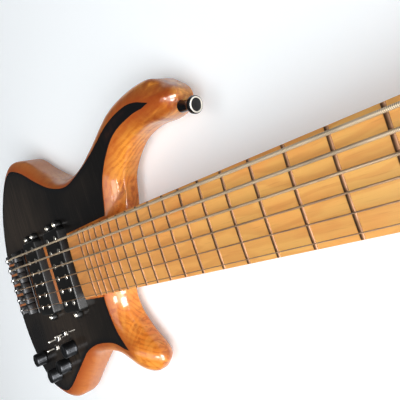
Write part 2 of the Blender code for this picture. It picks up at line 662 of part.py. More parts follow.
KNOB_PROFILE = (
    (6.4, 4.0), (3.35, 4.0), (3.35, 12.0), (0.0, 12.0), (0.0, 15.4), (8.2, 15.2), (9.4, 14.4), (9.8, 13.2),
    (9.8, 2.4), (10.2, 1.6), (10.2, 0.0), (6.4, 0.0), (6.4, 4.0),
)
for number, (x, y) in enumerate(KNOB_PLACES, 1):
    turned(f"knob_{number}", KNOB_PROFILE, 16, black_metal, location=(x, y, BODY_TOP + 0.6))

TOGGLE_PIVOT = 43.6
LEVER_PROFILE = (
    (0.0, 13.4), (1.3, 13.0), (1.6, 12.0), (1.0, 8.0), (0.9, 1.3), (1.5, 0.0), (1.3, -1.0), (0.0, -1.5),
)
for number, (x, y) in enumerate(TOGGLE_PLACES, 1):
    turned(f"toggle_lever_{number}", LEVER_PROFILE, 10, nickel, location=(x, y, TOGGLE_PIVOT))

# Battery in a box cut from the back
BATTERY_CENTRE = (-37.0, -61.5)
battery_pocket = box("battery_pocket", (-66.0, -8.0), (-77.0, -46.0), (-5.0, 24.0))
boolean(wing_treble, battery_pocket)
boolean(wing_treble, box("battery_seat", (-70.0, -4.0), (-80.5, -42.5), (-5.0, 2.8)))
plate("battery_cover", rounded_rectangle(65.2, 37.2, 1.0, BATTERY_CENTRE, 1), 0.4, 2.5, black_plastic)
plate("battery", rounded_rectangle(48.5, 26.0, 2.5, BATTERY_CENTRE, 2), 3.2, 20.6, battery_case)

# Output jack in the treble edge, beside the controls
JACK_SPOT = (8.0, -178.6, 19.0)
jack_turn = turn_to((0, -1, 0))
JACK_PROFILE = (
    (6.4, -22.5), (0.0, -22.5), (0.0, -20.0), (4.2, -20.0), (4.2, 2.4), (8.0, 2.4), (9.0, 1.6), (9.0, GAP),
    (6.4, GAP), (6.4, -22.5),
)
turned("output_jack", JACK_PROFILE, 16, black_metal, location=JACK_SPOT, turn=jack_turn)
JACK_HOLE_PROFILE = ((0.0, 20.0), (9.4, 20.0), (9.4, 0.0), (6.7, 0.0), (6.7, -24.0), (0.0, -24.0))
boolean(wing_treble, turned("jack_hole", JACK_HOLE_PROFILE, 16, location=JACK_SPOT, turn=jack_turn))

# Strap buttons on the horn's tip and on the tail
BUTTON_PROFILE = (
    (0.0, 18.5), (6.7, 18.5), (7.2, 17.9), (7.2, 14.8), (6.6, 13.6), (5.4, 12.2), (4.7, 9.5), (4.6, 6.0),
    (4.8, 2.6), (5.0, 1.4), (5.0, GAP), (0.0, GAP),
)
BUTTON_SEATS = (
    # where it stands, which way it points, the wood that carries it
    ("horn", (424.4, 97.4, 26.0), (0.95, -0.31, 0.0), wing_bass),
    ("tail", (-98.2, 2.0, 21.0), (-1.0, 0.0, 0.0), neck),
)
for label, spot, direction, wood in BUTTON_SEATS:
    facing = turn_to(Vector(direction).normalized())
    turned(f"strap_button_{label}", BUTTON_PROFILE, 14, black_metal, location=spot, turn=facing)
    boolean(wood, rod(f"{label}_seat", 6.2, 0.0, 24.0, 14, location=spot, turn=facing))
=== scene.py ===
"""The looks of a six-string electric bass guitar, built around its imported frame.

Each piece is shaped in millimetres and finished in metres: +X runs to the headstock, +Y to the upper
horn and the thickest string, +Z up from the flat back.
"""

import math

import bmesh
import bpy
from mathutils import Matrix, Quaternion, Vector, kdtree


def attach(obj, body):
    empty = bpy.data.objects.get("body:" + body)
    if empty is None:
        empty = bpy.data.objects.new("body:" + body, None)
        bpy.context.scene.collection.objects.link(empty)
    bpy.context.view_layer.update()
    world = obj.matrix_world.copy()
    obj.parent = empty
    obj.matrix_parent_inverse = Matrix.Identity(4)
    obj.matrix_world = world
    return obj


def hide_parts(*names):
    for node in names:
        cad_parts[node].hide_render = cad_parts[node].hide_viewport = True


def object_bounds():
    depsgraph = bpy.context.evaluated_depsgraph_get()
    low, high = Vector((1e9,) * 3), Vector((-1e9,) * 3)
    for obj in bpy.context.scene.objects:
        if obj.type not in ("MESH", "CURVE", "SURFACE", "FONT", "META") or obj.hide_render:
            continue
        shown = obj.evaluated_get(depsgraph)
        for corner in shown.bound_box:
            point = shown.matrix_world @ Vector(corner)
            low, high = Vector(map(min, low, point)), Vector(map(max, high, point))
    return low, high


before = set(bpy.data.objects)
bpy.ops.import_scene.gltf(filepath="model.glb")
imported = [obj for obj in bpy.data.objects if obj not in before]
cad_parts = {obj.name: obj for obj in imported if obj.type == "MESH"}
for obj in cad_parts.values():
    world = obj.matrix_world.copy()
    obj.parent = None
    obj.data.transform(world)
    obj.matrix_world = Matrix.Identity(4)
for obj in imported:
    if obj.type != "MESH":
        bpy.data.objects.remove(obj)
cad_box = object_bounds()

# The camera stands over the middle of the neck and looks down the board at the body.
# It is rolled, so that the neck climbs to the picture's upper right.
CAMERA_PLACE = Vector((0.69764, 0.0006, 0.26242))
CAMERA_TARGET = Vector((0.44243, 0.01928, 0.052))
CAMERA_ROLL = math.radians(-104.88)
CAMERA_LENS = 41.0
camera = bpy.data.objects.new("camera", bpy.data.cameras.new("camera"))
camera.data.lens = CAMERA_LENS
camera.data.clip_start = 0.01
aim = (CAMERA_TARGET - CAMERA_PLACE).to_track_quat("-Z", "Y") @ Quaternion((0, 0, 1), CAMERA_ROLL)
camera.matrix_world = Matrix.Translation(CAMERA_PLACE) @ aim.to_matrix().to_4x4()
bpy.context.scene.collection.objects.link(camera)
bpy.context.scene.camera = camera

# The body is amber figured wood, carved from its edge up to a flat dark top and rounded round its back.
# It is shaped as one solid that is sawn in three: a centre block, which the neck grows out of, and two wings.
BODY_TOP = 42.0
# Once round the body: the edge's x and y, the height of its foot, how far the back below it is drawn to
# the tail, the height of its shoulder, and the crest's x, y and height
BODY_STATIONS = (
    (295.5, 45.5, 10.0, 18.0, 22.0, 278.0, 44.0, 42.0),
    (309.0, 74.0, 10.0, 17.0, 23.0, 296.0, 78.0, 42.0),
    (339.5, 94.5, 10.0, 17.0, 25.0, 332.5, 104.5, 42.0),
    (372.0, 99.5, 11.0, 18.0, 28.0, 372.0, 110.8, 42.0),
    (400.0, 95.8, 12.0, 18.0, 29.0, 400.0, 108.5, 42.0),
    (417.0, 96.3, 13.0, 19.0, 30.0, 412.5, 106.0, 41.2),
    (425.0, 100.7, 14.0, 20.0, 28.5, 417.0, 106.0, 40.7),
    (428.5, 107.2, 14.0, 20.0, 28.0, 418.5, 107.5, 40.5),
    (426.2, 113.8, 14.0, 20.0, 28.0, 416.5, 109.3, 40.7),
    (418.5, 120.5, 13.0, 19.0, 29.0, 411.5, 111.8, 41.2),
    (402.0, 131.3, 12.0, 16.0, 33.0, 397.0, 114.5, 42.0),
    (368.0, 133.6, 10.0, 10.0, 36.0, 370.0, 121.5, 42.0),
    (330.0, 128.6, 8.0, 4.0, 38.0, 331.0, 119.0, 42.0),
    (285.0, 112.3, 7.0, 0.0, 38.0, 286.0, 105.5, 42.0),
    (247.0, 100.0, 8.0, 0.0, 38.0, 246.5, 96.5, 42.0),
    (206.5, 100.0, 8.0, 6.0, 34.0, 204.5, 91.5, 42.0),
    (165.5, 109.5, 8.0, 12.0, 29.0, 161.5, 101.0, 42.0),
    (120.5, 134.0, 8.0, 12.0, 28.0, 121.0, 120.0, 42.0),
    (75.5, 161.5, 7.0, 8.0, 31.0, 73.0, 146.5, 42.0),
    (29.0, 168.3, 7.0, 3.0, 37.0, 30.0, 158.5, 42.0),
    (-16.5, 146.0, 7.0, 0.0, 38.0, -13.0, 143.0, 42.0),
    (-65.0, 102.0, 7.0, 0.0, 38.0, -60.5, 100.0, 42.0),
    (-94.5, 42.0, 7.0, 0.0, 38.0, -91.0, 41.5, 42.0),
    (-100.5, -17.0, 7.0, 0.0, 38.0, -97.5, -17.0, 42.0),
    (-95.0, -81.5, 7.0, 0.0, 38.0, -92.5, -80.5, 42.0),
    (-74.5, -128.5, 7.0, 0.0, 38.0, -72.5, -127.0, 42.0),
    (-41.0, -159.0, 7.0, 0.0, 37.5, -39.5, -157.5, 42.0),
    (-12.0, -174.0, 8.0, 2.0, 35.0, -15.0, -165.0, 42.0),
    (15.0, -180.0, 12.0, 5.0, 30.0, 10.0, -167.0, 42.0),
    (42.0, -173.5, 14.0, 7.0, 26.0, 35.0, -159.5, 42.0),
    (66.0, -158.5, 14.0, 8.0, 23.0, 62.0, -144.5, 42.0),
    (101.0, -136.0, 12.0, 9.0, 23.0, 97.0, -124.0, 42.0),
    (139.0, -112.5, 8.0, 8.0, 29.0, 129.5, -106.0, 42.0),
    (175.0, -106.8, 7.0, 8.0, 33.0, 166.5, -96.0, 42.0),
    (206.5, -111.0, 7.0, 6.0, 31.0, 207.0, -94.5, 42.0),
    (237.5, -127.0, 10.0, 9.0, 28.0, 231.0, -100.6, 42.0),
    (254.5, -131.8, 14.0, 11.0, 23.0, 238.0, -103.0, 42.0),
    (266.0, -127.0, 16.0, 12.0, 21.0, 240.8, -104.0, 42.0),
    (272.5, -119.0, 16.0, 13.0, 21.0, 241.3, -102.6, 42.0),
    (269.0, -107.0, 14.0, 15.0, 21.0, 239.0, -99.0, 42.0),
    (249.2, -86.6, 11.0, 17.0, 21.0, 227.5, -84.0, 42.0),
    (236.0, -62.0, 10.0, 18.0, 22.0, 220.5, -61.0, 42.0),
    (239.0, -37.0, 10.0, 18.0, 22.0, 221.5, -36.0, 42.0),
    (257.0, -4.0, 10.0, 18.0, 22.0, 245.0, -4.0, 42.0),
    (284.0, 27.0, 10.0, 18.0, 22.0, 268.0, 29.5, 42.0),
)
STEPS_PER_STATION = 6
HORN_STRIP = (4, 10)
STAIN_TIPS = (
    # the crest past this x on this side narrows to one point
    (393.0, 1, (403.5, 110.3), (-3.5, 1.0)),
    (233.0, -1, (240.5, -102.6), (-2.1, 1.6)),
)
BACK_INSET = 0.45
BACK_INSET_MOST = 4.5
BACK_ROUNDING = (0.0, 15.0, 30.0, 45.0, 60.0, 75.0, 90.0)
BACK_FLATNESS = 1.5
TOP_ROUNDING = (0.0, 10.0, 20.0, 30.0, 40.0, 50.0, 60.0, 70.0, 80.0, 90.0)
TOP_FLATNESS = 1.4
SHEET_THICKNESS = 3.2


def smooth_loop(points, steps):
    """A closed curve through every point, as Catmull-Rom spans of equal steps."""
    found = []
    count = len(points)
    for here in range(count):
        before, start, end, after = (Vector(points[(here + k) % count]) for k in (-1, 0, 1, 2))
        for step in range(steps):
            t = step / steps
            found.append(
                0.5 * (2 * start + (end - before) * t + (2 * before - 5 * start + 4 * end - after) * t**2
                       + (3 * start - before - 3 * end + after) * t**3)
            )
    return found


def inset_point(outline, here, amount):
    """A point of a closed outline moved inwards; the outline runs anticlockwise."""
    back = Vector(outline[here - 1])
    on = Vector(outline[(here + 1) % len(outline)])
    along = (on - back).normalized()
    return outline[here][0] - along.y * amount, outline[here][1] + along.x * amount


def inset(outline, amount):
    return [inset_point(outline, here, amount) for here in range(len(outline))]


def start_ring(bm, places):
    """A closed ring of vertices joined by edges."""
    ring = [bm.verts.new(place) for place in places]
    for here, after in zip(ring, ring[1:] + ring[:1]):
        bm.edges.new((here, after))
    return ring


def raise_ring(bm, ring, places):
    """Extrude a closed ring to new places, and give back the new ring in the same order."""
    edges = [bm.edges.get((here, after)) for here, after in zip(ring, ring[1:] + ring[:1])]
    made = bmesh.ops.extrude_edge_only(bm, edges=edges)["geom"]
    fresh = {item for item in made if isinstance(item, bmesh.types.BMVert)}
    risen = []
    for vert, place in zip(ring, places):
        new = next(edge.other_vert(vert) for edge in vert.link_edges if edge.other_vert(vert) in fresh)
        new.co = place
        risen.append(new)
    return risen


def close_up(bm):
    """Fill every open loop and turn all faces outwards."""
    bmesh.ops.holes_fill(bm, edges=[item for item in bm.edges if item.is_boundary])
    bmesh.ops.recalc_face_normals(bm, faces=bm.faces)
    return bm


def skin(rings):
    """A closed skin over rings of equal point count."""
    bm = bmesh.new()
    ring = start_ring(bm, rings[0])
    for places in rings[1:]:
        ring = raise_ring(bm, ring, places)
    return close_up(bm)


def slab(outline, low, high):
    """A flat outline as a solid between two heights."""
    return skin([[(x, y, height) for x, y in outline] for height in (low, high)])


def block(x_range, y_range, z_range):
    centre = [(low + high) / 2 for low, high in (x_range, y_range, z_range)]
    size = [high - low for low, high in (x_range, y_range, z_range)]
    bm = bmesh.new()
    bmesh.ops.create_cube(bm, size=1.0, matrix=Matrix.Translation(centre) @ Matrix.Diagonal((*size, 1.0)))
    return bm


def rod(radius, low, high, sides, x=0.0, y=0.0):
    bm = bmesh.new()
    place = Matrix.Translation((x, y, (low + high) / 2))
    bmesh.ops.create_cone(
        bm, cap_ends=True, segments=sides, radius1=radius, radius2=radius, depth=high - low, matrix=place,
    )
    return bm


def turned(profile, steps):
    """A profile of (radius, height) points spun round Z into a closed solid."""
    bm = bmesh.new()
    verts = [bm.verts.new((radius, 0.0, height)) for radius, height in profile]
    edges = [bm.edges.new(pair) for pair in zip(verts, verts[1:])]
    bmesh.ops.spin(
        bm, geom=verts + edges, cent=(0, 0, 0), axis=(0, 0, 1), angle=math.tau, steps=steps, use_merge=True,
    )
    bmesh.ops.remove_doubles(bm, verts=bm.verts, dist=0.001)
    bmesh.ops.recalc_face_normals(bm, faces=bm.faces)
    return bm


def eased(bm, width, segments=2, corner=30.0, where=None):
    """Round the sharp edges of a mesh, all or those whose middle passes a test."""
    picked = []
    for item in bm.edges:
        middle = (item.verts[0].co + item.verts[1].co) / 2
        if len(item.link_faces) == 2 and item.calc_face_angle() > math.radians(corner):
            if where is None or where(middle):
                picked.append(item)
    bmesh.ops.bevel(
        bm, geom=picked, offset=width, affect="EDGES", segments=segments, profile=0.5, material=-1,
        clamp_overlap=True,
    )
    return bm


def moved(bm, place):
    bmesh.ops.transform(bm, matrix=place, verts=bm.verts)
    return bm


def gathered(shapes):
    """Several meshes as one, each keeping its own shell."""
    whole = bmesh.new()
    for shape in shapes:
        mesh = bpy.data.meshes.new("shape")
        shape.to_mesh(mesh)
        shape.free()
        whole.from_mesh(mesh)
        bpy.data.meshes.remove(mesh)
    return whole


def combined(operation, shape, *tools):
    """A mesh with others cut away from it, joined on to it or met with it."""
    things = []
    for bm in (shape, *tools):
        mesh = bpy.data.meshes.new("shape")
        bm.to_mesh(mesh)
        bm.free()
        thing = bpy.data.objects.new("shape", mesh)
        bpy.context.scene.collection.objects.link(thing)
        things.append(thing)
    for tool in things[1:]:
        modifier = things[0].modifiers.new("combine", "BOOLEAN")
        modifier.operation = operation
        modifier.solver = "EXACT"
        modifier.object = tool
    bpy.context.view_layer.update()
    whole = bmesh.new()
    whole.from_object(things[0], bpy.context.evaluated_depsgraph_get())
    for thing in things:
        bpy.data.objects.remove(thing)
    return whole


def finished(name, bm, finish, body, replaced=(), place=None, sharp=35.0):
    """A mesh in millimetres made an object in metres that rides on a body of the frame."""
    if place is not None:
        moved(bm, place)
    bmesh.ops.scale(bm, vec=(0.001, 0.001, 0.001), verts=bm.verts)
    mesh = bpy.data.meshes.new(name)
    bm.to_mesh(mesh)
    bm.free()
    mesh.shade_smooth()
    mesh.set_sharp_from_angle(angle=math.radians(sharp))
    mesh.materials.append(finish)
    piece = bpy.data.objects.new(name, mesh)
    bpy.context.scene.collection.objects.link(piece)
    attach(piece, body)
    if replaced:
        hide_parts(*replaced)
    return piece


class Wire:
    """A shader socket that arithmetic and further nodes build on."""

    def __init__(self, tree, socket):
        self.tree = tree
        self.socket = socket

    def node(self, kind, settings, sockets, output=0):
        """Add a node of any kind, with its settings first and then its sockets' values or links."""
        made = self.tree.nodes.new("ShaderNode" + kind)
        for name, value in settings.items():
            setattr(made, name, value)
        for name, value in sockets.items():
            if isinstance(value, Wire):
                self.tree.links.new(value.socket, made.inputs[name])
            else:
                made.inputs[name].default_value = value
        return Wire(self.tree, made.outputs[output])

    def math(self, operation, first, second=0.0):
        return self.node("Math", {"operation": operation}, {0: first, 1: second})

    def __add__(self, other):
        return self.math("ADD", self, other)

    def __radd__(self, other):
        return self.math("ADD", other, self)

    def __sub__(self, other):
        return self.math("SUBTRACT", self, other)

    def __rsub__(self, other):
        return self.math("SUBTRACT", other, self)

    def __mul__(self, other):
        return self.math("MULTIPLY", self, other)

    def __rmul__(self, other):
        return self.math("MULTIPLY", other, self)

    def feed(self, shader, socket):
        self.tree.links.new(self.socket, shader.inputs[socket])


def new_finish(name, constants):
    """A material, its shader, and its object coordinates for patterns to start from."""
    material = bpy.data.materials.new(name)
    material.use_nodes = True
    tree = material.node_tree
    shader = tree.nodes["Principled BSDF"]
    for socket, value in constants.items():
        shader.inputs[socket].default_value = value
    coordinates = tree.nodes.new("ShaderNodeTexCoord")
    return material, shader, Wire(tree, coordinates.outputs["Object"])


def noise(place, scale, detail=4.0, roughness=0.55, distortion=0.0, shift=(0, 0, 0)):
    """Cloudy variation from 0 to 1, with its scale in cycles to the metre along each axis."""
    stretched = place.node("Mapping", {}, {"Vector": place, "Location": shift, "Scale": scale})
    sockets = {"Vector": stretched, "Scale": 1.0, "Detail": detail, "Roughness": roughness, "Distortion": distortion}
    return place.node("TexNoise", {}, sockets)


def between(value, low, high):
    """0 below low, 1 above high and a smooth rise between them."""
    settings = {"interpolation_type": "SMOOTHSTEP"}
    return value.node("MapRange", settings, {"Value": value, "From Min": low, "From Max": high})


def blended(factor, first, second):
    """Two colours mixed by a factor."""
    colours = [(*colour, 1.0) if isinstance(colour, tuple) else colour for colour in (first, second)]
    return factor.node("Mix", {"data_type": "RGBA"}, {0: factor, 6: colours[0], 7: colours[1]}, output=2)


def axis_of(place, axis):
    return place.node("SeparateXYZ", {}, {0: place}, output=axis)


def roughened(place, height, strength, depth):
    """A surface pattern for the Normal socket, its depth in metres."""
    return place.node("Bump", {}, {"Height": height, "Strength": strength, "Distance": depth})


def near(place, spot, inner, outer):
    """1 within the inner distance of a spot, 0 past the outer distance."""
    away = place.node("VectorMath", {"operation": "DISTANCE"}, {0: place, 1: spot}, output=1)
    return 1 - between(away, inner, outer)


HORN_SHADE = (0.405, 0.124, 0.036)


def growth_rings(place, heart, spacing, stretch, wobble):
    """Rings round a line that runs along X through the heart, wavering, from 0 to 1."""
    about = place.node("Mapping", {}, {
        "Vector": place, "Location": (0.0, -heart[0], -heart[1]), "Scale": (stretch, 1.0, 1.0),
    })
    settings = {"wave_type": "RINGS", "rings_direction": "X", "wave_profile": "SIN"}
    sockets = {
        "Vector": about, "Scale": math.tau / 20 / spacing, "Distortion": wobble, "Detail": 3.0,
        "Detail Scale": spacing * 90, "Detail Roughness": 0.55,
    }
    return place.node("TexWave", settings, sockets, output=1)


def amber_wood():
    material, shader, place = new_finish("amber_wood", {
        "Roughness": 0.42, "Coat Roughness": 0.08, "Specular IOR Level": 0.15,
    })
    fibres = noise(place, (60.0, 900.0, 900.0), detail=3.0)
    streaks = noise(place, (14.0, 85.0, 85.0), detail=6.0, roughness=0.6, distortion=1.0)
    flames = noise(place, (120.0, 24.0, 30.0), detail=2.0, distortion=1.2)
    clouds = noise(place, (10.0, 15.0, 16.0), detail=3.0)
    knots = noise(place, (26.0, 32.0, 30.0), detail=4.0, distortion=1.5, shift=(3.1, 0.7, 0.4))
    rings = growth_rings(place, (0.02, -0.09), 0.0055, 0.35, 14.0)
    honey = blended(between(clouds, 0.38, 0.62), (0.93, 0.40, 0.055), (0.80, 0.25, 0.028))
    ringed = blended(between(rings, 0.35, 0.95) * 0.5, honey, (0.55, 0.115, 0.012))
    ruddy = blended(between(streaks, 0.50, 0.68) * 0.7, ringed, (0.46, 0.095, 0.011))
    flamed = blended(between(flames, 0.46, 0.60) * 0.35, ruddy, (0.95, 0.45, 0.08))
    knotted = blended(between(knots, 0.57, 0.71) * 0.85, flamed, (0.30, 0.050, 0.008))
    # Towards the tail the wood is coloured darker and browner, and its lacquer coat is thinner.
    tail = 1 - between(axis_of(place, "X"), 0.10, 0.24)
    browner_at_tail = blended(tail * 0.85, knotted, (0.55, 0.17, 0.045))
    (tail * -0.4 + 0.7).feed(shader, "Coat Weight")
    shadow = near(place, HORN_SHADE, 0.008, 0.070) * between(streaks, 0.30, 0.52)
    shaded = blended(shadow * 0.75, browner_at_tail, (0.27, 0.055, 0.010))
    grained = blended(between(fibres, 0.56, 0.75) * 0.3, shaded, (0.36, 0.09, 0.014))
    rim = place.node("Attribute", {"attribute_name": "rim"}, {}, output="Fac")
    burst = (1 - between(rim, 0.0, 0.015)) * between(axis_of(place, "Z"), 0.022, 0.038) * 0.8
    blended(burst, grained, (0.36, 0.060, 0.008)).feed(shader, "Base Color")
    roughened(place, fibres, 0.04, 0.0002).feed(shader, "Normal")
    return material


amber = amber_wood()
stations = smooth_loop(BODY_STATIONS, STEPS_PER_STATION)
edge = [(s[0], s[1]) for s in stations]
crest = [(s[5], s[6]) for s in stations]


def back_ring(degrees):
    """A ring on the back's rounded edge, drawn in all round and drawn back at the horns and bouts."""
    out = 1 - math.sin(math.radians(degrees)) ** BACK_FLATNESS
    up = 1 - math.cos(math.radians(degrees)) ** BACK_FLATNESS
    ring = []
    for here, station in enumerate(stations):
        foot, pull = station[2], station[3]
        x, y = inset_point(edge, here, min(BACK_INSET * foot, BACK_INSET_MOST) * out)
        ring.append((x - pull * out, y, foot * up))
    return ring


def top_ring(degrees):
    """A ring on the rounding between the wall's shoulder and the crest."""
    inwards = 1 - math.cos(math.radians(degrees)) ** TOP_FLATNESS
    up = math.sin(math.radians(degrees)) ** TOP_FLATNESS
    ring = []
    for ex, ey, _, _, shoulder, cx, cy, height in stations:
        height = min(height, BODY_TOP)
        ring.append((ex + (cx - ex) * inwards, ey + (cy - ey) * inwards, shoulder + (height - shoulder) * up))
    return ring


def body_shell():
    bm = bmesh.new()
    ring = start_ring(bm, back_ring(BACK_ROUNDING[0]))
    for degrees in BACK_ROUNDING[1:]:
        ring = raise_ring(bm, ring, back_ring(degrees))
    for degrees in TOP_ROUNDING:
        ring = raise_ring(bm, ring, top_ring(degrees))
    # The horn's end slopes, so its top is a strip of its own, laced between two matching stations
    low, high = (STEPS_PER_STATION * station for station in HORN_STRIP)
    while high - low > 3:
        bmesh.ops.contextual_create(bm, geom=[ring[low], ring[low + 1], ring[high - 1], ring[high]])
        low += 1
        high -= 1
    return close_up(bm)


def keep_side(bm, place, facing):
    """Saw a closed mesh through and close the cut; what the facing direction points at goes."""
    everything = bm.verts[:] + bm.edges[:] + bm.faces[:]
    bmesh.ops.bisect_plane(bm, geom=everything, plane_co=place, plane_no=facing, clear_outer=True)
    return close_up(bm)


def stain_loop(amount):
    """The crest drawn in by an amount, with each horn's end narrowed to its tip."""
    loop = [tuple(point) for point in inset(crest, amount)]
    for start, side, tip, back in STAIN_TIPS:
        past = [here for here, (x, y) in enumerate(loop) if x >= start and side * y > 90.0]
        drawn_tip = (tip[0] + back[0] * amount, tip[1] + back[1] * amount)
        loop[past[0]:past[-1] + 1] = [drawn_tip]
    return loop


def rounded_rectangle(length, width, radius, centre=(0.0, 0.0), steps=6):
    corners = ((1, 1, 0), (-1, 1, 90), (-1, -1, 180), (1, -1, 270))
    found = []
    for side_x, side_y, first in corners:
        for step in range(steps + 1):
            angle = math.radians(first + 90 * step / steps)
            found.append((
                centre[0] + side_x * (length / 2 - radius) + radius * math.cos(angle),
                centre[1] + side_y * (width / 2 - radius) + radius * math.sin(angle),
            ))
    return found


def turn_to(direction):
    return Vector(direction).to_track_quat("Z", "Y").to_matrix().to_4x4()


def mark_distance(piece, loop, name):
    """Store each vertex's distance from a loop, in metres, as an attribute that a finish reads."""
    spots = []
    for here, after in zip(loop, loop[1:] + loop[:1]):
        for step in range(4):
            spots.append(Vector(here).lerp(Vector(after), step / 4))
    tree = kdtree.KDTree(len(spots))
    for number, spot in enumerate(spots):
        tree.insert((spot.x * 0.001, spot.y * 0.001, 0.0), number)
    tree.balance()
    distances = [tree.find((v.co.x, v.co.y, 0.0))[2] for v in piece.data.vertices]
    attribute = piece.data.attributes.new(name, "FLOAT", "POINT")
    attribute.data.foreach_set("value", distances)


# The two wings are glued to the centre block. The pickups sit in pockets from the top, and the controls
# and the battery in pockets from the back; the jack and the horn's strap button have bored holes.
BLOCK_HALF_WIDTH = 41.0
GLUE_LINE = 0.02
PICKUP_CENTRES = (57.0, 144.8)
PICKUP_WIDTH = 49.0
PICKUP_LENGTH = 104.0
POCKET_CLEARANCE = 0.4
CONTROL_POCKET = (
    (-60.0, -108.0), (-58.0, -125.0), (-43.0, -137.0), (-18.0, -149.0), (6.0, -154.0), (34.0, -151.0),
    (60.0, -142.0), (86.0, -127.0), (106.0, -113.0), (111.0, -98.0), (104.0, -82.0), (84.0, -72.0),
    (48.0, -73.0), (24.0, -87.0), (4.0, -94.0), (-26.0, -98.0), (-48.0, -101.0),
)
CONTROL_POCKET_TOP = 33.0
BATTERY_CENTRE = (-37.0, -61.5)
KNOB_PLACES = ((89.5, -100.5), (50.5, -125.0), (4.0, -140.5), (-42.0, -118.5))
TOGGLE_PLACES = ((68.0, -82.0), (38.0, -89.0), (22.0, -102.5))
JACK_PLACE = Matrix.Translation((8.0, -178.6, 19.0)) @ turn_to((0, -1, 0))
JACK_HOLE = ((0.0, 20.0), (9.4, 20.0), (9.4, 0.0), (6.7, 0.0), (6.7, -24.0), (0.0, -24.0))
HORN_BUTTON_PLACE = Matrix.Translation((424.4, 97.4, 26.0)) @ turn_to((0.95, -0.31, 0.0))
TAIL_BUTTON_PLACE = Matrix.Translation((-98.2, 2.0, 21.0)) @ turn_to((-1, 0, 0))
BUTTON_HOLE = 5.5
pocket_loop = [tuple(point) for point in smooth_loop(CONTROL_POCKET, 6)]


def pickup_pockets():
    size = (PICKUP_WIDTH + 2 * POCKET_CLEARANCE, PICKUP_LENGTH + 2 * POCKET_CLEARANCE)
    return [slab(rounded_rectangle(*size, 5.4, (centre, 0.0)), 27.0, 60.0) for centre in PICKUP_CENTRES]


def control_holes():
    pots = [rod(4.3, CONTROL_POCKET_TOP - 2, 60.0, 24, x, y) for x, y in KNOB_PLACES]
    switches = [rod(3.4, CONTROL_POCKET_TOP - 2, 60.0, 24, x, y) for x, y in TOGGLE_PLACES]
    return pots + switches


def rebate():
    return slab(stain_loop(0.0), BODY_TOP - SHEET_THICKNESS - GLUE_LINE, BODY_TOP + 5)


saw_cut = BLOCK_HALF_WIDTH + GLUE_LINE
bass_side = keep_side(body_shell(), (0, saw_cut, 0), (0, -1, 0))
bass_side = combined("DIFFERENCE", bass_side, rebate(), *pickup_pockets())
bass_side = combined("DIFFERENCE", bass_side, moved(rod(BUTTON_HOLE, 0.0, 24.0, 32), HORN_BUTTON_PLACE))
wing_bass = finished("wing_bass_wood", bass_side, amber, "guitar", ("wing_bass",))
treble_side = keep_side(body_shell(), (0, -saw_cut, 0), (0, 1, 0))
treble_side = combined("DIFFERENCE", treble_side, rebate(), *pickup_pockets())
treble_side = combined("DIFFERENCE", treble_side, slab(pocket_loop, -5.0, CONTROL_POCKET_TOP), *control_holes())
treble_side = combined(
    "DIFFERENCE", treble_side, slab(inset(pocket_loop, -4.5), -5.0, 2.8),
    block((-66.0, -8.0), (-77.0, -46.0), (-5.0, 24.0)), block((-70.0, -4.0), (-80.5, -42.5), (-5.0, 2.8)),
    moved(turned(JACK_HOLE, 32), JACK_PLACE),
)
wing_treble = finished("wing_treble_wood", treble_side, amber, "guitar", ("wing_treble",))

# Two thin sheets of figured wood, stained black, are let into the wings and lacquered over.
# The stain is heaviest round the rim and lets the grain show inside it.
SHEET_GRID = 8.0
BLADE_PATCH = (0.345, 0.1145, 0.042)


def stained_wood():
    material, shader, place = new_finish("stained_wood", {
        "Roughness": 0.5, "Coat Weight": 0.6, "Coat Roughness": 0.05, "Specular IOR Level": 0.05,
    })
    figure = noise(place, (330.0, 14.0, 60.0), detail=6.0, roughness=0.65, distortion=0.5)
    fibres = noise(place, (1500.0, 70.0, 300.0), detail=3.0)
    patches = noise(place, (9.0, 13.0, 9.0), detail=2.0)
    thin = near(place, (0.0, 0.06, 0.042), 0.02, 0.15) + near(place, (0.07, -0.09, 0.042), 0.02, 0.12)
    dark = blended(between(patches, 0.4, 0.65), (0.0055, 0.0050, 0.0050), (0.014, 0.011, 0.009))
    worn = blended(thin * between(figure, 0.30, 0.62) * 0.9, dark, (0.050, 0.036, 0.026))
    veined = blended(between(figure, 0.52, 0.72) * 0.4, worn, (0.040, 0.031, 0.025))
    fine = blended(between(fibres, 0.5, 0.75) * 0.5, veined, (0.008, 0.007, 0.007))
    tip = near(place, BLADE_PATCH, 0.006, 0.030) * between(figure, 0.30, 0.55)
    reddish = blended(tip * 0.7, fine, (0.085, 0.028, 0.018))
    rim = place.node("Attribute", {"attribute_name": "rim"}, {}, output="Fac")
    blended(1 - between(rim, 0.001, 0.009), reddish, (0.005, 0.005, 0.006)).feed(shader, "Base Color")
    return material


def stained_sheet(side):
    bm = keep_side(slab(stain_loop(0.05), BODY_TOP - SHEET_THICKNESS, BODY_TOP), (0, side * saw_cut, 0), (0, -side, 0))
    cuts = pickup_pockets() + (control_holes() if side < 0 else [])
    bm = combined("DIFFERENCE", bm, *cuts)
    # A grid of cuts gives the sheet points enough to carry the distance from its rim
    for line in range(int(560 / SHEET_GRID)):
        at = -130 + line * SHEET_GRID
        for spot, facing in (((at, 0, 0), (1, 0, 0)), ((0, at, 0), (0, 1, 0))):
            everything = bm.verts[:] + bm.edges[:] + bm.faces[:]
            bmesh.ops.bisect_plane(bm, geom=everything, plane_co=spot, plane_no=facing)
    return bm


stained = stained_wood()
sheet_bass = finished("stained_sheet_bass", stained_sheet(1), stained, "guitar", ("cap_bass",))
sheet_treble = finished("stained_sheet_treble", stained_sheet(-1), stained, "guitar", ("cap_treble",))

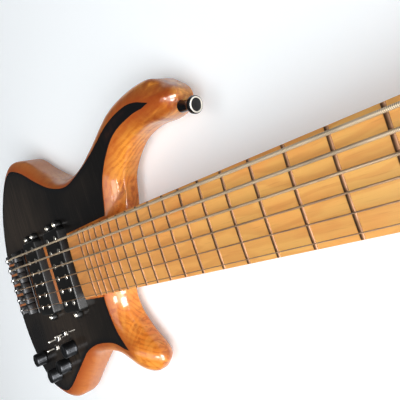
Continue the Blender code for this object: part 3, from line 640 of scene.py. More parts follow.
# The neck runs through the body as its centre block: one length of amber wood from tail to headstock.
# The shaft is shaped to a shallow round back and swells into the body; the headstock tilts back.
STRING_LENGTH = 889.0
NECK_TOP = 45.5
BOARD_TOP = 52.0
BOARD_END = 189.0
BOARD_RADIUS = 600.0
HALF_WIDTH_AT_NUT = 26.1
HALF_WIDTH_AT_LAST_FRET = 37.6
SHAFT_SECTIONS = (
    # place along, lowest height
    (189.3, 3.0), (240.0, 5.0), (266.0, 9.0), (288.0, 16.0), (312.0, 22.5), (345.0, 26.5), (444.0, 28.2),
    (640.0, 29.3), (840.0, 30.4), (894.5, 30.6),
)
SHAFT_STEPS = 28
HEADSTOCK_START = 894.5
HEADSTOCK_FACE = 44.6
HEADSTOCK_THICKNESS = 14.0
HEADSTOCK_TILT = math.radians(5.0)
HEADSTOCK_SIDE = (
    (-6.0, 26.4), (8.0, 27.5), (20.0, 33.5), (34.0, 42.0), (50.0, 44.5), (70.0, 42.5), (95.0, 39.0),
    (120.0, 36.0), (142.0, 33.5), (160.0, 30.0), (173.0, 23.0), (179.2, 11.0),
)
TUNER_PLACES = ((48.0, 27.0), (90.0, 22.0), (132.0, 17.0))


def half_width(x):
    """Half the width of the fretboard at a place along it."""
    share = (STRING_LENGTH - x) / (STRING_LENGTH - STRING_LENGTH * 0.25)
    return HALF_WIDTH_AT_NUT + (HALF_WIDTH_AT_LAST_FRET - HALF_WIDTH_AT_NUT) * share


def on_headstock(along, across, up):
    """A place on the tilted headstock: along it from the nut, across it, and up from its face."""
    cosine, sine = math.cos(HEADSTOCK_TILT), math.sin(HEADSTOCK_TILT)
    return Vector((
        HEADSTOCK_START + along * cosine + up * sine, across, HEADSTOCK_FACE - along * sine + up * cosine,
    ))


headstock_turn = Matrix.Rotation(HEADSTOCK_TILT, 4, "Y")
headstock_place = Matrix.Translation(on_headstock(0, 0, 0)) @ headstock_turn
tuner_spots = []
for side in (1, -1):
    order = TUNER_PLACES if side == 1 else TUNER_PLACES[::-1]
    tuner_spots += [(along, side * across, side) for along, across in order]


def shaft_ring(along, bottom):
    wide = half_width(along)
    wall = NECK_TOP - 2.5
    ring = [(along, wide, NECK_TOP), (along, -wide, NECK_TOP)]
    for step in range(SHAFT_STEPS + 1):
        angle = math.pi * step / SHAFT_STEPS
        across = math.copysign(abs(math.cos(angle)) ** 0.8, -math.cos(angle))
        ring.append((along, wide * across, wall - (wall - bottom) * math.sin(angle) ** 0.9))
    return ring


def headstock_loop():
    side = [Vector(spot) for spot in HEADSTOCK_SIDE]
    mirrored = [Vector((x, -y)) for x, y in HEADSTOCK_SIDE]
    loop = smooth_loop(mirrored + side[::-1], 4)
    return [(x, y) for x, y in loop if x >= -6.0]


centre = keep_side(body_shell(), (0, BLOCK_HALF_WIDTH, 0), (0, 1, 0))
centre = keep_side(centre, (0, -BLOCK_HALF_WIDTH, 0), (0, -1, 0))
centre = combined("DIFFERENCE", centre, *pickup_pockets(), moved(rod(BUTTON_HOLE, 0.0, 24.0, 32), TAIL_BUTTON_PLACE))
shaft = skin([shaft_ring(along, bottom) for along, bottom in SHAFT_SECTIONS])
headstock = moved(eased(slab(headstock_loop(), -HEADSTOCK_THICKNESS, 0.0), 1.2), headstock_place)
post_holes = [moved(rod(6.1, -40.0, 20.0, 24, x, y), headstock_place) for x, y, _ in tuner_spots]
neck = combined("UNION", centre, shaft, headstock)
neck = combined("DIFFERENCE", neck, block((230.0, 912.0), (-3.3, 3.3), (36.0, 60.0)), *post_holes)
neck_wood = finished("neck_wood", neck, amber, "guitar", ("neck",))
for piece in (sheet_bass, sheet_treble, wing_bass, wing_treble, neck_wood):
    mark_distance(piece, crest, "rim")

# The fretboard is one plank of clear-finished maple, rounded across, glued to the neck.
# Its pale wood has warm streaks along the grain and a few curved figures where the saw crossed rings.


def board_maple():
    material, shader, place = new_finish("board_maple", {
        "Roughness": 0.42, "Coat Weight": 0.3, "Coat Roughness": 0.25, "Specular IOR Level": 0.15,
    })
    growth = noise(place, (3.0, 75.0, 30.0), detail=5.0, roughness=0.6, distortion=1.0)
    fibres = noise(place, (50.0, 1100.0, 600.0), detail=3.0)
    clouds = noise(place, (12.0, 26.0, 14.0), detail=3.0)
    rings = growth_rings(place, (-0.055, -0.03), 0.0075, 0.22, 16.0)
    far = 1 - between(axis_of(place, "X"), 0.20, 0.60)
    pale = blended(far, (0.80, 0.45, 0.130), (0.95, 0.43, 0.12))
    warm = blended(between(clouds, 0.42, 0.66) * 0.65, pale, (0.86, 0.33, 0.085))
    ringed = blended(between(rings, 0.55, 0.95) * 0.35, warm, (0.66, 0.26, 0.070))
    streaked = blended(between(growth, 0.5, 0.66) * 0.45, ringed, (0.64, 0.25, 0.065))
    blended(between(fibres, 0.55, 0.75) * 0.3, streaked, (0.50, 0.20, 0.055)).feed(shader, "Base Color")
    roughened(place, fibres, 0.05, 0.0002).feed(shader, "Normal")
    return material


BOARD_SPOTS = 24


def board_height(y):
    """Height of the fretboard's rounded face."""
    return BOARD_TOP - BOARD_RADIUS + math.sqrt(BOARD_RADIUS**2 - y**2)


def board_ring(along):
    wide = half_width(along)
    ring = [(along, -wide, NECK_TOP + GLUE_LINE), (along, wide, NECK_TOP + GLUE_LINE)]
    for spot in range(BOARD_SPOTS + 1):
        across = wide * (1 - 2 * spot / BOARD_SPOTS)
        ring.append((along, across, board_height(across)))
    return ring


board = eased(skin([board_ring(BOARD_END), board_ring(STRING_LENGTH - 0.3)]), 0.6)
maple = board_maple()
finished("board", board, maple, "guitar", ("fretboard",))

# Twenty-four frets of nickel-silver wire are pressed into saw slots and dressed flush with the edges.
# Their crowns are polished along the neck, and the wire is painted dark brown: a painted reflection of the dim room
# and the wood that it mirrors.
FRET_COUNT = 24
FRET_HALF_WIDTH = 1.5
FRET_CROWN = 1.0
FRET_SPOTS = 12


def polished_wire(name, colour, roughness):
    material, shader, place = new_finish(name, {"Metallic": 1.0})
    scratches = noise(place, (900.0, 90.0, 400.0), detail=3.0)
    tarnish = noise(place, (60.0, 60.0, 60.0), detail=3.0)
    darker = tuple(share * 0.62 for share in colour)
    blended(between(tarnish, 0.42, 0.66), colour, darker).feed(shader, "Base Color")
    (scratches * 0.22 + (roughness - 0.1)).feed(shader, "Roughness")
    return material


def fret(along):
    rings = []
    wide = half_width(along) - 0.4
    for spot in range(FRET_SPOTS + 1):
        across = wide * (1 - 2 * spot / FRET_SPOTS)
        ring = [(along - FRET_HALF_WIDTH, across, board_height(across) - 0.6)]
        for step in range(9):
            angle = math.pi * step / 8
            up = FRET_CROWN * math.sin(angle)
            ring.append((along - FRET_HALF_WIDTH * math.cos(angle), across, board_height(across) + up))
        ring.append((along + FRET_HALF_WIDTH, across, board_height(across) - 0.6))
        rings.append(ring)
    return skin(rings)


# The dark brown colour is painted reflection, standing in for the dim surroundings that the nickel mirrors.
fret_metal_painted_dark = polished_wire("fret_metal_painted_dark", (0.15, 0.080, 0.045), 0.50)
frets = gathered([fret(STRING_LENGTH * 2 ** (-number / 12)) for number in range(1, FRET_COUNT + 1)])
finished("frets", frets, fret_metal_painted_dark, "guitar", ("fretboard",))

# The nut is a bar of black moulded graphite glued against the board's end, slotted for each string.
STRINGS = (
    # radius, side position at the bridge, side position at the nut, how far back its saddle stands
    (1.3, 39.75, 20.0, 8.0),
    (1.15, 23.85, 12.0, 7.0),
    (0.95, 7.95, 4.0, 6.0),
    (0.65, -7.95, -4.0, 5.0),
    (0.48, -23.85, -12.0, 4.5),
    (0.36, -39.75, -20.0, 4.0),
)
STRING_BOTTOM_AT_NUT = 53.4


def moulded_black(name, colour, roughness, coat=0.0):
    material, shader, place = new_finish(name, {
        "Coat Weight": coat, "Coat Roughness": 0.15, "Specular IOR Level": 0.25,
    })
    pits = noise(place, (900.0, 900.0, 900.0), detail=4.0)
    wear = noise(place, (45.0, 45.0, 45.0), detail=3.0)
    lighter = tuple(share * 1.7 + 0.001 for share in colour)
    blended(between(wear, 0.45, 0.7), colour, lighter).feed(shader, "Base Color")
    (wear * 0.16 + (roughness - 0.08)).feed(shader, "Roughness")
    roughened(place, pits, 0.12, 0.0001).feed(shader, "Normal")
    return material


black_graphite = moulded_black("black_graphite", (0.012, 0.012, 0.013), 0.4)
nut = block((STRING_LENGTH, STRING_LENGTH + 5.0), (-25.8, 25.8), (NECK_TOP + 0.3, 54.8))
nut = eased(nut, 0.7)
slots = []
for radius, _, at_nut, _ in STRINGS:
    groove = moved(rod(radius + 0.1, -10.0, 10.0, 16), Matrix.Rotation(math.radians(90), 4, "Y"))
    groove = moved(groove, Matrix.Translation((STRING_LENGTH + 2.5, at_nut, STRING_BOTTOM_AT_NUT + radius)))
    slots.append(groove)
    side = radius + 0.1
    low = STRING_BOTTOM_AT_NUT + radius
    slots.append(block((880.0, 900.0), (at_nut - side, at_nut + side), (low, 60.0)))
nut = combined("DIFFERENCE", nut, *slots)
finished("nut_bar", nut, black_graphite, "guitar", ("nut",))

# The truss rod is a steel bar in a slot under the board, and a black plate covers its nut at the headstock.
# Three small screws hold the plate.


def bead_blasted(name, colour, metallic, roughness):
    material, shader, place = new_finish(name, {"Metallic": metallic})
    specks = noise(place, (1500.0, 1500.0, 1500.0), detail=3.0)
    sheen = noise(place, (70.0, 70.0, 70.0), detail=3.0)
    lighter = tuple(share * 1.5 + 0.006 for share in colour)
    blended(between(sheen, 0.4, 0.7), colour, lighter).feed(shader, "Base Color")
    (sheen * 0.18 + (roughness - 0.09)).feed(shader, "Roughness")
    roughened(place, specks, 0.10, 0.00005).feed(shader, "Normal")
    return material


def screw_head(radius, height, slot_depth=0.6):
    """A domed screw head with a cross slot, its seat at z 0 and a stub below it."""
    profile = (
        (0.0, height), (radius * 0.45, height * 0.96), (radius * 0.78, height * 0.72), (radius * 0.96, height * 0.3),
        (radius, 0.0), (radius * 0.5, 0.0), (radius * 0.5, -1.0), (0.0, -1.0),
    )
    width = radius * 0.16
    reach = radius * 0.62
    bars = [
        block((-reach, reach), (-width, width), (height - slot_depth, height + 1)),
        block((-width, width), (-reach, reach), (height - slot_depth, height + 1)),
    ]
    return combined("DIFFERENCE", turned(profile, 20), *bars)


def screws(radius, height, places):
    return gathered([moved(screw_head(radius, height), place) for place in places])


black_plate = bead_blasted("black_plate", (0.010, 0.010, 0.011), 0.6, 0.38)
tool_steel = polished_wire("tool_steel", (0.50, 0.50, 0.50), 0.34)
rod_cover = eased(slab(rounded_rectangle(32.0, 18.0, 5.0, (19.5, 0.0)), 0.3, 2.0), 0.5)
finished(
    "rod_cover", rod_cover, black_graphite, "guitar", ("truss_rod_cover",), headstock_place,
)
cover_spots = [Matrix.Translation((x, y, 2.0)) for x, y in ((6.5, 0.0), (31.0, 5.5), (31.0, -5.5))]
finished(
    "rod_cover_screws", screws(1.6, 0.8, cover_spots), black_plate, "guitar", place=headstock_place,
)

# Six strings run from the bridge's wall over the saddles and the nut to the tuning posts.
# The four thick ones are steel wound with fine nickel wire, and all six take two turns round their posts.
STRING_BOTTOM_AT_SADDLE = 57.5
SADDLE_TRAVEL = 3.5
POST_WAIST = 3.0
WINDING_HEIGHT = 9.0
WINDING_PITCH = (0.95, 0.8, 0.66, 0.55, 0.45, 0.4)
WINDING_TURNS = 2.25
# Thickest first; the colours darken towards the thin strings, whose browner tones are painted shade.
WIRE_COLOURS_WITH_PAINTED_SHADE = (
    (0.74, 0.60, 0.42), (0.68, 0.53, 0.36), (0.60, 0.44, 0.28), (0.44, 0.28, 0.16), (0.34, 0.20, 0.11), (0.34, 0.20, 0.11),
)


def wound_wire(name, colour, pitch):
    material, shader, place = new_finish(name, {"Metallic": 0.45, "Specular IOR Level": 0.5})
    along = axis_of(place, "X")
    wave = along.math("SINE", along * (math.tau / (pitch * 0.001)))
    grime = noise(place, (25.0, 60.0, 60.0), detail=3.0)
    darker = tuple(share * 0.6 for share in colour)
    tone = blended(between(grime, 0.42, 0.68), colour, darker)
    # The grooves between the winding's turns are painted dark brown: painted shade in the creases.
    blended(between(wave, -1.0, -0.2), (0.20, 0.15, 0.10), tone).feed(shader, "Base Color")
    (grime * 0.2 + 0.36).feed(shader, "Roughness")
    roughened(place, wave, 0.5, 0.0001).feed(shader, "Normal")
    return material


def wire(path, radius, sides=16):
    """A round wire along a path, its rings square to the path."""
    places = [Vector(spot) for spot in path]
    rings = []
    for here, spot in enumerate(places):
        back = places[max(here - 1, 0)]
        on = places[min(here + 1, len(places) - 1)]
        facing = turn_to(on - back)
        rings.append([
            spot + facing @ Vector((radius * math.cos(math.tau * side / sides), radius * math.sin(math.tau * side / sides), 0))
            for side in range(sides)
        ])
    return skin(rings)


for number, (radius, at_bridge, at_nut, setback) in enumerate(STRINGS, 1):
    along, across, side = tuner_spots[number - 1]
    beside = across - side * (POST_WAIST + 0.3 + radius)
    path = [
        (-48.5, at_bridge, 51.9 + radius),
        (-43.0, at_bridge, 52.6 + radius),
        (-setback - SADDLE_TRAVEL - 0.4, at_bridge, STRING_BOTTOM_AT_SADDLE + radius - 0.05),
        (-setback - SADDLE_TRAVEL + 0.4, at_bridge, STRING_BOTTOM_AT_SADDLE + radius),
        (-setback + SADDLE_TRAVEL, at_bridge, STRING_BOTTOM_AT_SADDLE + radius),
        (STRING_LENGTH, at_nut, STRING_BOTTOM_AT_NUT + radius),
        (STRING_LENGTH + 4.5, at_nut, STRING_BOTTOM_AT_NUT + radius - 0.1),
        on_headstock(along - 10.0, beside, WINDING_HEIGHT + 0.6),
        on_headstock(along + 2.0, beside, WINDING_HEIGHT),
    ]
    metal = wound_wire(f"winding_{number}", WIRE_COLOURS_WITH_PAINTED_SHADE[number - 1], WINDING_PITCH[number - 1])
    finished(f"string_wire_{number}", wire(path, radius), metal, "guitar", (f"string_{number}",))

# The bridge is a black plate screwed to the centre block, with a toothed wall that holds the ball ends.
# Behind each saddle a long screw and its spring set where the string's length begins.
BRIDGE_FLOOR = BODY_TOP + 0.3
TOOTH_HALF_WIDTH = 6.2
SCREW_LEVEL = 48.4
SADDLE_HALF_WIDTH = 7.3
SADDLE_SIDE = (
    (-17.0, -11.3), (1.5, -11.3), (1.5, -3.0), (0.9, -1.2), (0.0, -0.1), (-0.8, 0.0), (-1.8, -0.5), (-17.0, -3.5),
)
bridge = eased(block((-51.0, -1.0), (-49.0, 49.0), (BRIDGE_FLOOR, BRIDGE_FLOOR + 3.0)), 0.8)
teeth = []
for radius, at_bridge, _, _ in STRINGS:
    tooth = block(
        (-51.0, -43.0), (at_bridge - TOOTH_HALF_WIDTH, at_bridge + TOOTH_HALF_WIDTH), (BRIDGE_FLOOR + 1.0, 55.5),
    )
    tooth = eased(tooth, 0.9)
    side = radius + 0.3
    groove = block((-56.0, -38.0), (at_bridge - side, at_bridge + side), (51.6, 60.0))
    bore = moved(rod(1.7, -56.0, -38.0, 16), Matrix.Translation((0, at_bridge, SCREW_LEVEL)) @ turn_to((1, 0, 0)))
    teeth.append(combined("DIFFERENCE", tooth, groove, bore))
bridge = combined("UNION", bridge, *teeth)
finished("bridge_base", bridge, black_plate, "guitar", ("bridge_plate",))
plate_top = BRIDGE_FLOOR + 3.0
mounting = [Matrix.Translation((-37.5, y, plate_top)) for y in (-31.8, -15.9, 0.0, 15.9, 31.8)]
finished("bridge_screws", screws(2.6, 1.4, mounting), black_plate, "guitar")


def spring(radius, thickness, length, turns):
    """A coil of round wire along Z."""
    spots = 14 * turns
    path = []
    for step in range(spots + 1):
        angle = math.tau * turns * step / spots
        path.append((radius * math.cos(angle), radius * math.sin(angle), length * step / spots))
    return wire(path, thickness / 2, 6)


for number, (radius, at_bridge, _, setback) in enumerate(STRINGS, 1):
    rear = -setback - 17.0
    lie = Matrix.Translation((0, at_bridge, SCREW_LEVEL)) @ turn_to((1, 0, 0))
    long_screw = gathered([
        rod(1.4, -53.0, rear + 8.0, 14), moved(screw_head(2.6, 1.6), Matrix.Translation((0, 0, -51.2)) @ turn_to((0, 0, -1))),
    ])
    finished(f"saddle_screw_{number}", long_screw, tool_steel, "guitar", place=lie)
    coil = moved(spring(2.1, 0.6, rear - SADDLE_TRAVEL + 43.0 - 0.6, 6), Matrix.Translation((0, 0, -42.7)))
    finished(f"saddle_spring_{number}", coil, tool_steel, "guitar", place=lie)
    ball = moved(turned(((0.0, 2.4), (2.6, 2.4), (3.0, 2.0), (3.0, -2.0), (2.6, -2.4), (0.0, -2.4)), 20), turn_to((0, 1, 0)))
    finished(
        f"ball_end_{number}", ball, tool_steel, "guitar",
        place=Matrix.Translation((-54.4, at_bridge, 51.9 + radius)),
    )
    side_turn = Matrix.Translation((-setback, at_bridge, STRING_BOTTOM_AT_SADDLE - 0.3)) @ Matrix.Rotation(math.pi / 2, 4, "X")
    saddle = eased(moved(slab(SADDLE_SIDE, -SADDLE_HALF_WIDTH, SADDLE_HALF_WIDTH), side_turn), 0.5)
    bore = moved(rod(1.7, rear - 2.0, rear + 14.0, 16), lie)
    drilled = [rod(1.7, 40.0, 60.0, 16, rear + 5.0, at_bridge + 4.9 * way) for way in (-1, 1)]
    saddle = combined("DIFFERENCE", saddle, bore, *drilled)
    finished(f"saddle_block_{number}", saddle, black_plate, f"saddle_{number}_body", (f"saddle_{number}",))
    grub = gathered([rod(1.5, plate_top + 0.1, 53.0, 14, rear + 5.0, at_bridge + 4.9 * way) for way in (-1, 1)])
    finished(f"saddle_grub_{number}", eased(grub, 0.2), tool_steel, f"saddle_{number}_body")

# Each pickup is a coil and magnets potted in a black moulded cover, with twelve nickel pole pieces.
# Three screws through round ears hold it over foam in its pocket.
PICKUP_TOP = 53.0
POLE_SPREAD = 13.0
POLE_PITCH = 16.0
PICKUP_EARS = ((-1, 1), (1, 1), (0, -1))
EAR_TOP = 49.5
POLE_RADIUS = 3.5
black_cover = moulded_black("black_cover", (0.0035, 0.0035, 0.0032), 0.42, 0.15)
bright_nickel = polished_wire("bright_nickel", (0.80, 0.76, 0.68), 0.36)
for label, centre in zip(("bridge", "neck"), PICKUP_CENTRES):
    place = Matrix.Translation((centre, 0, 0))
    cover = slab(rounded_rectangle(PICKUP_WIDTH, PICKUP_LENGTH, 5.0), 30.0, PICKUP_TOP)
    cover = eased(cover, 1.8, segments=4, where=lambda spot: spot.z > PICKUP_TOP - 0.1)
    ears = []
    for fore, side in PICKUP_EARS:
        ear = rod(5.4, BODY_TOP + 0.3, EAR_TOP, 32, fore * POLE_SPREAD, side * (PICKUP_LENGTH / 2 + 4.3))
        ears.append(eased(ear, 1.0, segments=3))
    cover = combined("UNION", cover, *ears)
    hollow = slab(rounded_rectangle(PICKUP_WIDTH - 4.0, PICKUP_LENGTH - 4.0, 3.0), 20.0, PICKUP_TOP - 2.0)
    spots = [(x, POLE_PITCH * (across - 2.5)) for across in range(6) for x in (-POLE_SPREAD, POLE_SPREAD)]
    cover = combined("DIFFERENCE", cover, hollow, *[rod(POLE_RADIUS + 0.3, 45.0, 60.0, 24, x, y) for x, y in spots])
    finished(f"{label}_cover", cover, black_cover, "guitar", (f"{label}_pickup_cover",), place)
    filling = slab(rounded_rectangle(PICKUP_WIDTH - 4.8, PICKUP_LENGTH - 4.8, 2.6), 30.6, PICKUP_TOP - 2.4)
    finished(f"{label}_filling", filling, black_graphite, "guitar", (f"{label}_pickup_core",), place)
    poles = [eased(rod(POLE_RADIUS, PICKUP_TOP - 2.38, PICKUP_TOP + 0.4, 24, x, y), 0.4) for x, y in spots]
    finished(f"{label}_poles", gathered(poles), bright_nickel, "guitar", (f"{label}_pickup_core",), place)
    heads = [
        Matrix.Translation((fore * POLE_SPREAD, side * (PICKUP_LENGTH / 2 + 4.3), EAR_TOP)) for fore, side in PICKUP_EARS
    ]
    finished(f"{label}_ear_screws", screws(3.0, 1.9, heads), bright_nickel, "guitar", place=place)

# Four black knobs and three small levers work the pots and switches in the treble wing.
# The knobs push on to split shafts, and each lever's bush is held by a nut on the top.
KNOB_PROFILE = (
    (6.4, 4.0), (3.35, 4.0), (3.35, 12.0), (0.0, 12.0), (0.0, 14.9), (5.0, 14.9), (5.6, 15.3), (7.6, 15.3),
    (8.8, 14.9), (9.5, 14.1), (9.8, 13.0), (9.8, 2.6), (10.0, 2.0), (10.2, 1.4), (10.2, 0.2), (10.0, 0.0),
    (6.4, 0.0), (6.4, 4.0),
)
NUT_PROFILE_STEPS = 6
TOGGLE_PIVOT = 43.6
LEVER_PROFILE = (
    (0.0, 13.4), (0.7, 13.3), (1.3, 12.9), (1.6, 12.1), (1.5, 11.2), (1.05, 8.0), (0.9, 1.3), (1.4, 0.7),
    (1.5, 0.0), (1.3, -1.0), (0.0, -1.5),
)
satin_black = bead_blasted("satin_black", (0.014, 0.015, 0.017), 0.75, 0.34)
for number, (x, y) in enumerate(KNOB_PLACES, 1):
    place = Matrix.Translation((x, y, BODY_TOP + 0.6))
    knob = turned(KNOB_PROFILE, 48)
    line = block((5.6, 9.9), (-0.35, 0.35), (15.0, 16.0))
    knob = combined("DIFFERENCE", knob, line)
    finished(f"knob_cap_{number}", knob, satin_black, f"knob_{number}_body", (f"knob_{number}",), place)
    washer = turned(((4.0, 0.0), (6.0, 0.0), (6.0, 0.5), (4.0, 0.5), (4.0, 0.0)), 32)
    pot_nut = combined("DIFFERENCE", rod(5.4, 0.5, 2.6, NUT_PROFILE_STEPS), rod(4.0, -1.0, 5.0, 24))
    finished(
        f"pot_nut_{number}", gathered([washer, eased(pot_nut, 0.2)]), tool_steel, "guitar",
        place=Matrix.Translation((x, y, BODY_TOP + 0.02)),
    )
for number, (x, y) in enumerate(TOGGLE_PLACES, 1):
    lever = turned(LEVER_PROFILE, 24)
    finished(
        f"toggle_stick_{number}", lever, bright_nickel, f"toggle_lever_{number}_body",
        (f"toggle_lever_{number}",), Matrix.Translation((x, y, TOGGLE_PIVOT)),
    )
    dress_nut = combined("DIFFERENCE", rod(4.9, 0.0, 1.8, NUT_PROFILE_STEPS), rod(3.1, -1.0, 5.0, 24))
    finished(
        f"toggle_nut_{number}", eased(dress_nut, 0.25), bright_nickel, "guitar",
        place=Matrix.Translation((x, y, BODY_TOP + 0.02)),
    )

# Two black moulded covers close the control and battery pockets flush with the back.
# Small countersunk screws hold them round the rim.
COVER_SCREWS = (0, 14, 28, 42, 55, 69, 84, 96)
control_cover = eased(slab(inset(pocket_loop, -4.1), 0.4, 2.5), 0.4)
finished("control_lid", control_cover, black_graphite, "guitar", ("control_cover",))
battery_cover = eased(slab(rounded_rectangle(65.2, 37.2, 1.0, BATTERY_CENTRE, 3), 0.4, 2.5), 0.4)
finished("battery_lid", battery_cover, black_graphite, "guitar", ("battery_cover",))
down = Matrix.Rotation(math.pi, 4, "X")
rim_loop = inset(pocket_loop, -1.2)
lid_spots = [Matrix.Translation((*rim_loop[here], 0.55)) @ down for here in COVER_SCREWS]
for way_x in (-1, 1):
    lid_spots.append(Matrix.Translation((BATTERY_CENTRE[0] + way_x * 30.0, BATTERY_CENTRE[1], 0.55)) @ down)
finished("lid_screws", screws(1.7, 0.5, lid_spots), tool_steel, "guitar")

# The output jack is a black barrel through the treble edge, with a flange and a bright socket mouth.
JACK_PROFILE = (
    (6.4, -22.5), (0.0, -22.5), (0.0, -20.0), (4.2, -20.0), (4.2, 1.6), (4.9, 2.4), (7.4, 2.4), (8.6, 2.0),
    (9.0, 1.2), (9.0, 0.3), (6.4, 0.3), (6.4, -22.5),
)
finished(
    "jack_barrel", turned(JACK_PROFILE, 40), satin_black, "guitar", ("output_jack",), JACK_PLACE,
)

# Two black strap buttons stand on the horn's end and the tail, each on one screw.
# Their wide rounded heads stop the strap from slipping off, and a thin nickel ring trims each face.
BUTTON_PROFILE = (
    (0.0, 18.1), (6.6, 18.1), (7.0, 17.9), (7.2, 17.3), (7.2, 15.2), (7.0, 14.4),
    (6.5, 13.5), (5.4, 12.3), (4.9, 11.0), (4.7, 9.5), (4.6, 6.0), (4.8, 2.6), (5.1, 1.2), (5.1, 0.3), (0.0, 0.3),
)
BUTTON_RING_PROFILE = ((5.1, 17.9), (6.4, 17.9), (6.4, 18.3), (5.9, 18.5), (5.3, 18.4), (5.1, 17.9))
gloss_black = bead_blasted("gloss_black", (0.008, 0.008, 0.009), 0.4, 0.22)
for label, place in (("horn", HORN_BUTTON_PLACE), ("tail", TAIL_BUTTON_PLACE)):
    ring = turned(BUTTON_RING_PROFILE, 48)
    finished(f"{label}_button_ring", ring, bright_nickel, "guitar", place=place)
    button = turned(BUTTON_PROFILE, 48)
    finished(
        f"{label}_button", button, gloss_black, "guitar", (f"strap_button_{label}",), place,
    )

# Each tuning machine has a geared housing on the back, a collar round the post and a rounded key.
# The post carries its string's turns.
HOUSING_LOW = -HEADSTOCK_THICKNESS - 9.8
HOUSING_HIGH = -HEADSTOCK_THICKNESS - 0.3
KEY_LEVEL = -HEADSTOCK_THICKNESS - 5.1
POST_PROFILE = (
    (0.0, 16.8), (2.6, 16.8), (3.3, 16.6), (3.7, 16.0), (3.7, 13.6), (3.4, 12.8), (POST_WAIST, 12.0),
    (POST_WAIST, 6.4), (3.2, 5.6), (3.4, 5.2), (3.4, HOUSING_LOW + 3.0), (0.0, HOUSING_LOW + 3.0),
)
COLLAR_PROFILE = (
    (3.75, 2.3), (6.4, 2.3), (7.4, 1.9), (8.0, 1.2), (8.0, 0.3), (5.6, 0.3), (5.6, HOUSING_HIGH - 1.0),
    (3.75, HOUSING_HIGH - 1.0), (3.75, 2.3),
)
KEY_PROFILE = ((0.0, 24.0), (2.8, 24.0), (3.6, 20.0), (3.6, 17.6), (3.2, 17.1), (2.3, 16.8), (2.3, 4.4), (0.0, 4.4))
for number, (along, across, side) in enumerate(tuner_spots, 1):
    facing = headstock_turn @ Matrix.Rotation(0.0 if side == 1 else math.pi, 4, "Z")
    place = Matrix.Translation(on_headstock(along, across, 0)) @ facing
    housing = eased(slab(rounded_rectangle(25.0, 23.0, 4.0, (0.0, 1.5)), HOUSING_LOW, HOUSING_HIGH), 1.2, segments=3)
    bore = rod(3.75, HOUSING_LOW + 2.6, 30.0, 24)
    key_bore = moved(rod(2.7, 3.0, 30.0, 20), Matrix.Translation((0, 0, KEY_LEVEL)) @ turn_to((0, 1, 0)))
    housing = combined("DIFFERENCE", housing, bore, key_bore)
    finished(
        f"tuner_case_{number}", gathered([housing, turned(COLLAR_PROFILE, 40)]), satin_black, "guitar",
        (f"tuner_housing_{number}",), place,
    )
    case_screws = [Matrix.Translation((x, 11.0, HOUSING_LOW)) @ down for x in (-9.6, 9.6)]
    finished(f"tuner_screws_{number}", screws(1.5, 0.7, case_screws), tool_steel, "guitar", place=place)
    finished(
        f"tuner_shaft_{number}", turned(POST_PROFILE, 32), satin_black, f"tuner_post_{number}_body",
        (f"tuner_post_{number}",), place,
    )
    radius = STRINGS[number - 1][0]
    turns = []
    steps = 48
    for step in range(steps + 1):
        angle = -math.pi / 2 - math.tau * WINDING_TURNS * step / steps
        height = WINDING_HEIGHT - radius * 0.4 - 2.0 * radius * WINDING_TURNS * step / steps * 0.55
        turns.append(((POST_WAIST + radius) * math.cos(angle), (POST_WAIST + radius) * math.sin(angle), height))
    finished(
        f"string_turns_{number}", wire(turns, radius, 10), bright_nickel, f"tuner_post_{number}_body",
        place=place,
    )
    key_place = Matrix.Translation(on_headstock(along, across, KEY_LEVEL)) @ turn_to((0, side, 0))
    paddle = bmesh.new()
    bmesh.ops.create_uvsphere(paddle, u_segments=32, v_segments=20, radius=1.0)
    bmesh.ops.scale(paddle, vec=(10.0, 3.4, 12.0), verts=paddle.verts)
    bmesh.ops.translate(paddle, vec=(0.0, 0.0, 30.5), verts=paddle.verts)
    key = combined("UNION", turned(KEY_PROFILE, 32), paddle)
    finished(
        f"tuner_handle_{number}", key, satin_black, f"tuner_key_{number}_body",
        (f"tuner_key_{number}",), key_place,
    )

# What the covers hide keeps its plain form: the truss rod, the control board with its pots and switches,
# and the battery in its printed case.
HIDDEN_FINISHES = {
    "truss_rod": (tool_steel,),
    "control_board": (black_graphite, tool_steel),
    "battery": (black_plate,),
}
for node, finishes in HIDDEN_FINISHES.items():
    slots = bpy.data.objects[node].material_slots
    for number, held in enumerate(slots):
        held.material = finishes[min(number, len(finishes) - 1)]

# The room is a plain pale floor under a dim ceiling, with one soft window low at the treble side.
# Rays that reach the lens, straight or by a glossy surface, see the floor as white.
WINDOW_AIM = Vector((0.25, 0.0, 0.03))
WINDOW_PLACE = Vector((1.85, -1.15, 1.15))
WINDOW_SIZE = (1.5, 1.3)
WINDOW_POWER = 46.0
CEILING_PLACE = Vector((0.7, -0.4, 2.1))
CEILING_SIZE = (2.0, 2.0)
CEILING_POWER = 30.0
PANE_DISTANCE = 2.4
PANES = (
    # bearing from +X, height angle, width, height, power
    (-42.0, 11.0, 0.80, 1.45, 100.0),
    (-11.0, 20.0, 1.10, 1.20, 125.0),
    (-28.0, 53.0, 0.60, 0.50, 30.0),
)
HORIZON_LIGHT = 0.22
SKY_LIGHT = 0.07
FLOOR_SIZE = 12.0
FLOOR_DROP = 0.0002
FLOOR_GLOW = 0.27


def any_ray(wire, names):
    """1 for rays of any of the named kinds."""
    found = wire.node("LightPath", {}, {}, output=names[0])
    for name in names[1:]:
        found = wire.math("MAXIMUM", found, wire.node("LightPath", {}, {}, output=name))
    return found


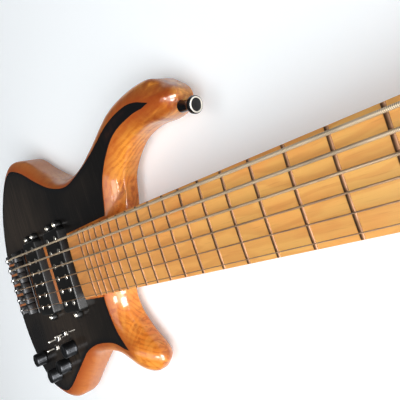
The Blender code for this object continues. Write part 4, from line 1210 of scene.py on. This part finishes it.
world = bpy.data.worlds.new("room")
world.use_nodes = True
background = world.node_tree.nodes["Background"]
background.inputs["Color"].default_value = (0.95, 0.97, 1.0, 1.0)
sky = Wire(world.node_tree, None)
direction = sky.node("TexCoord", {}, {}, output="Generated")
overhead = between(axis_of(direction, "Z"), 0.0, 0.15)
studio = overhead * (SKY_LIGHT - HORIZON_LIGHT) + HORIZON_LIGHT
seen = any_ray(sky, ("Is Camera Ray", "Is Transmission Ray"))
(seen * (1 - studio) + studio).feed(background, "Strength")
bpy.context.scene.world = world

floor_finish, floor_shader, floor_place = new_finish("floor", {
    "Base Color": (0.75, 0.80, 0.84, 1.0), "Roughness": 0.9, "Specular IOR Level": 0.1, "Emission Strength": 1.0,
})
glow = any_ray(floor_place, ("Is Camera Ray", "Is Glossy Ray", "Is Transmission Ray")) * FLOOR_GLOW
floor_place.node("CombineXYZ", {}, {0: glow, 1: glow, 2: glow}).feed(floor_shader, "Emission Color")
floor_mesh = bmesh.new()
bmesh.ops.create_grid(floor_mesh, x_segments=1, y_segments=1, size=FLOOR_SIZE / 2)
floor = bpy.data.objects.new("floor", bpy.data.meshes.new("floor"))
floor_mesh.to_mesh(floor.data)
floor_mesh.free()
floor.data.materials.append(floor_finish)
floor.location.z = cad_box[0][2] - FLOOR_DROP
bpy.context.scene.collection.objects.link(floor)


def area_light(name, place, size, power, colour):
    light = bpy.data.lights.new(name, "AREA")
    light.shape = "RECTANGLE"
    light.size, light.size_y = size
    light.energy = power
    light.color = colour
    lamp = bpy.data.objects.new(name, light)
    lamp.location = place
    lamp.rotation_euler = (WINDOW_AIM - place).to_track_quat("-Z", "Y").to_euler()
    bpy.context.scene.collection.objects.link(lamp)
    return lamp


area_light("window", WINDOW_PLACE, WINDOW_SIZE, WINDOW_POWER, (1.0, 0.99, 0.97))
area_light("ceiling", CEILING_PLACE, CEILING_SIZE, CEILING_POWER, (1.0, 1.0, 1.0))
for number, (bearing, climb, width, height, power) in enumerate(PANES, 1):
    facing = Vector((1.0, 0.0, 0.0))
    facing.rotate(Quaternion((0, 1, 0), -math.radians(climb)))
    facing.rotate(Quaternion((0, 0, 1), math.radians(bearing)))
    pane = area_light(f"pane_{number}", WINDOW_AIM + facing * PANE_DISTANCE, (width, height), power, (1.0, 1.0, 1.0))
    pane.visible_diffuse = False
bpy.context.scene.view_settings.view_transform = "Standard"
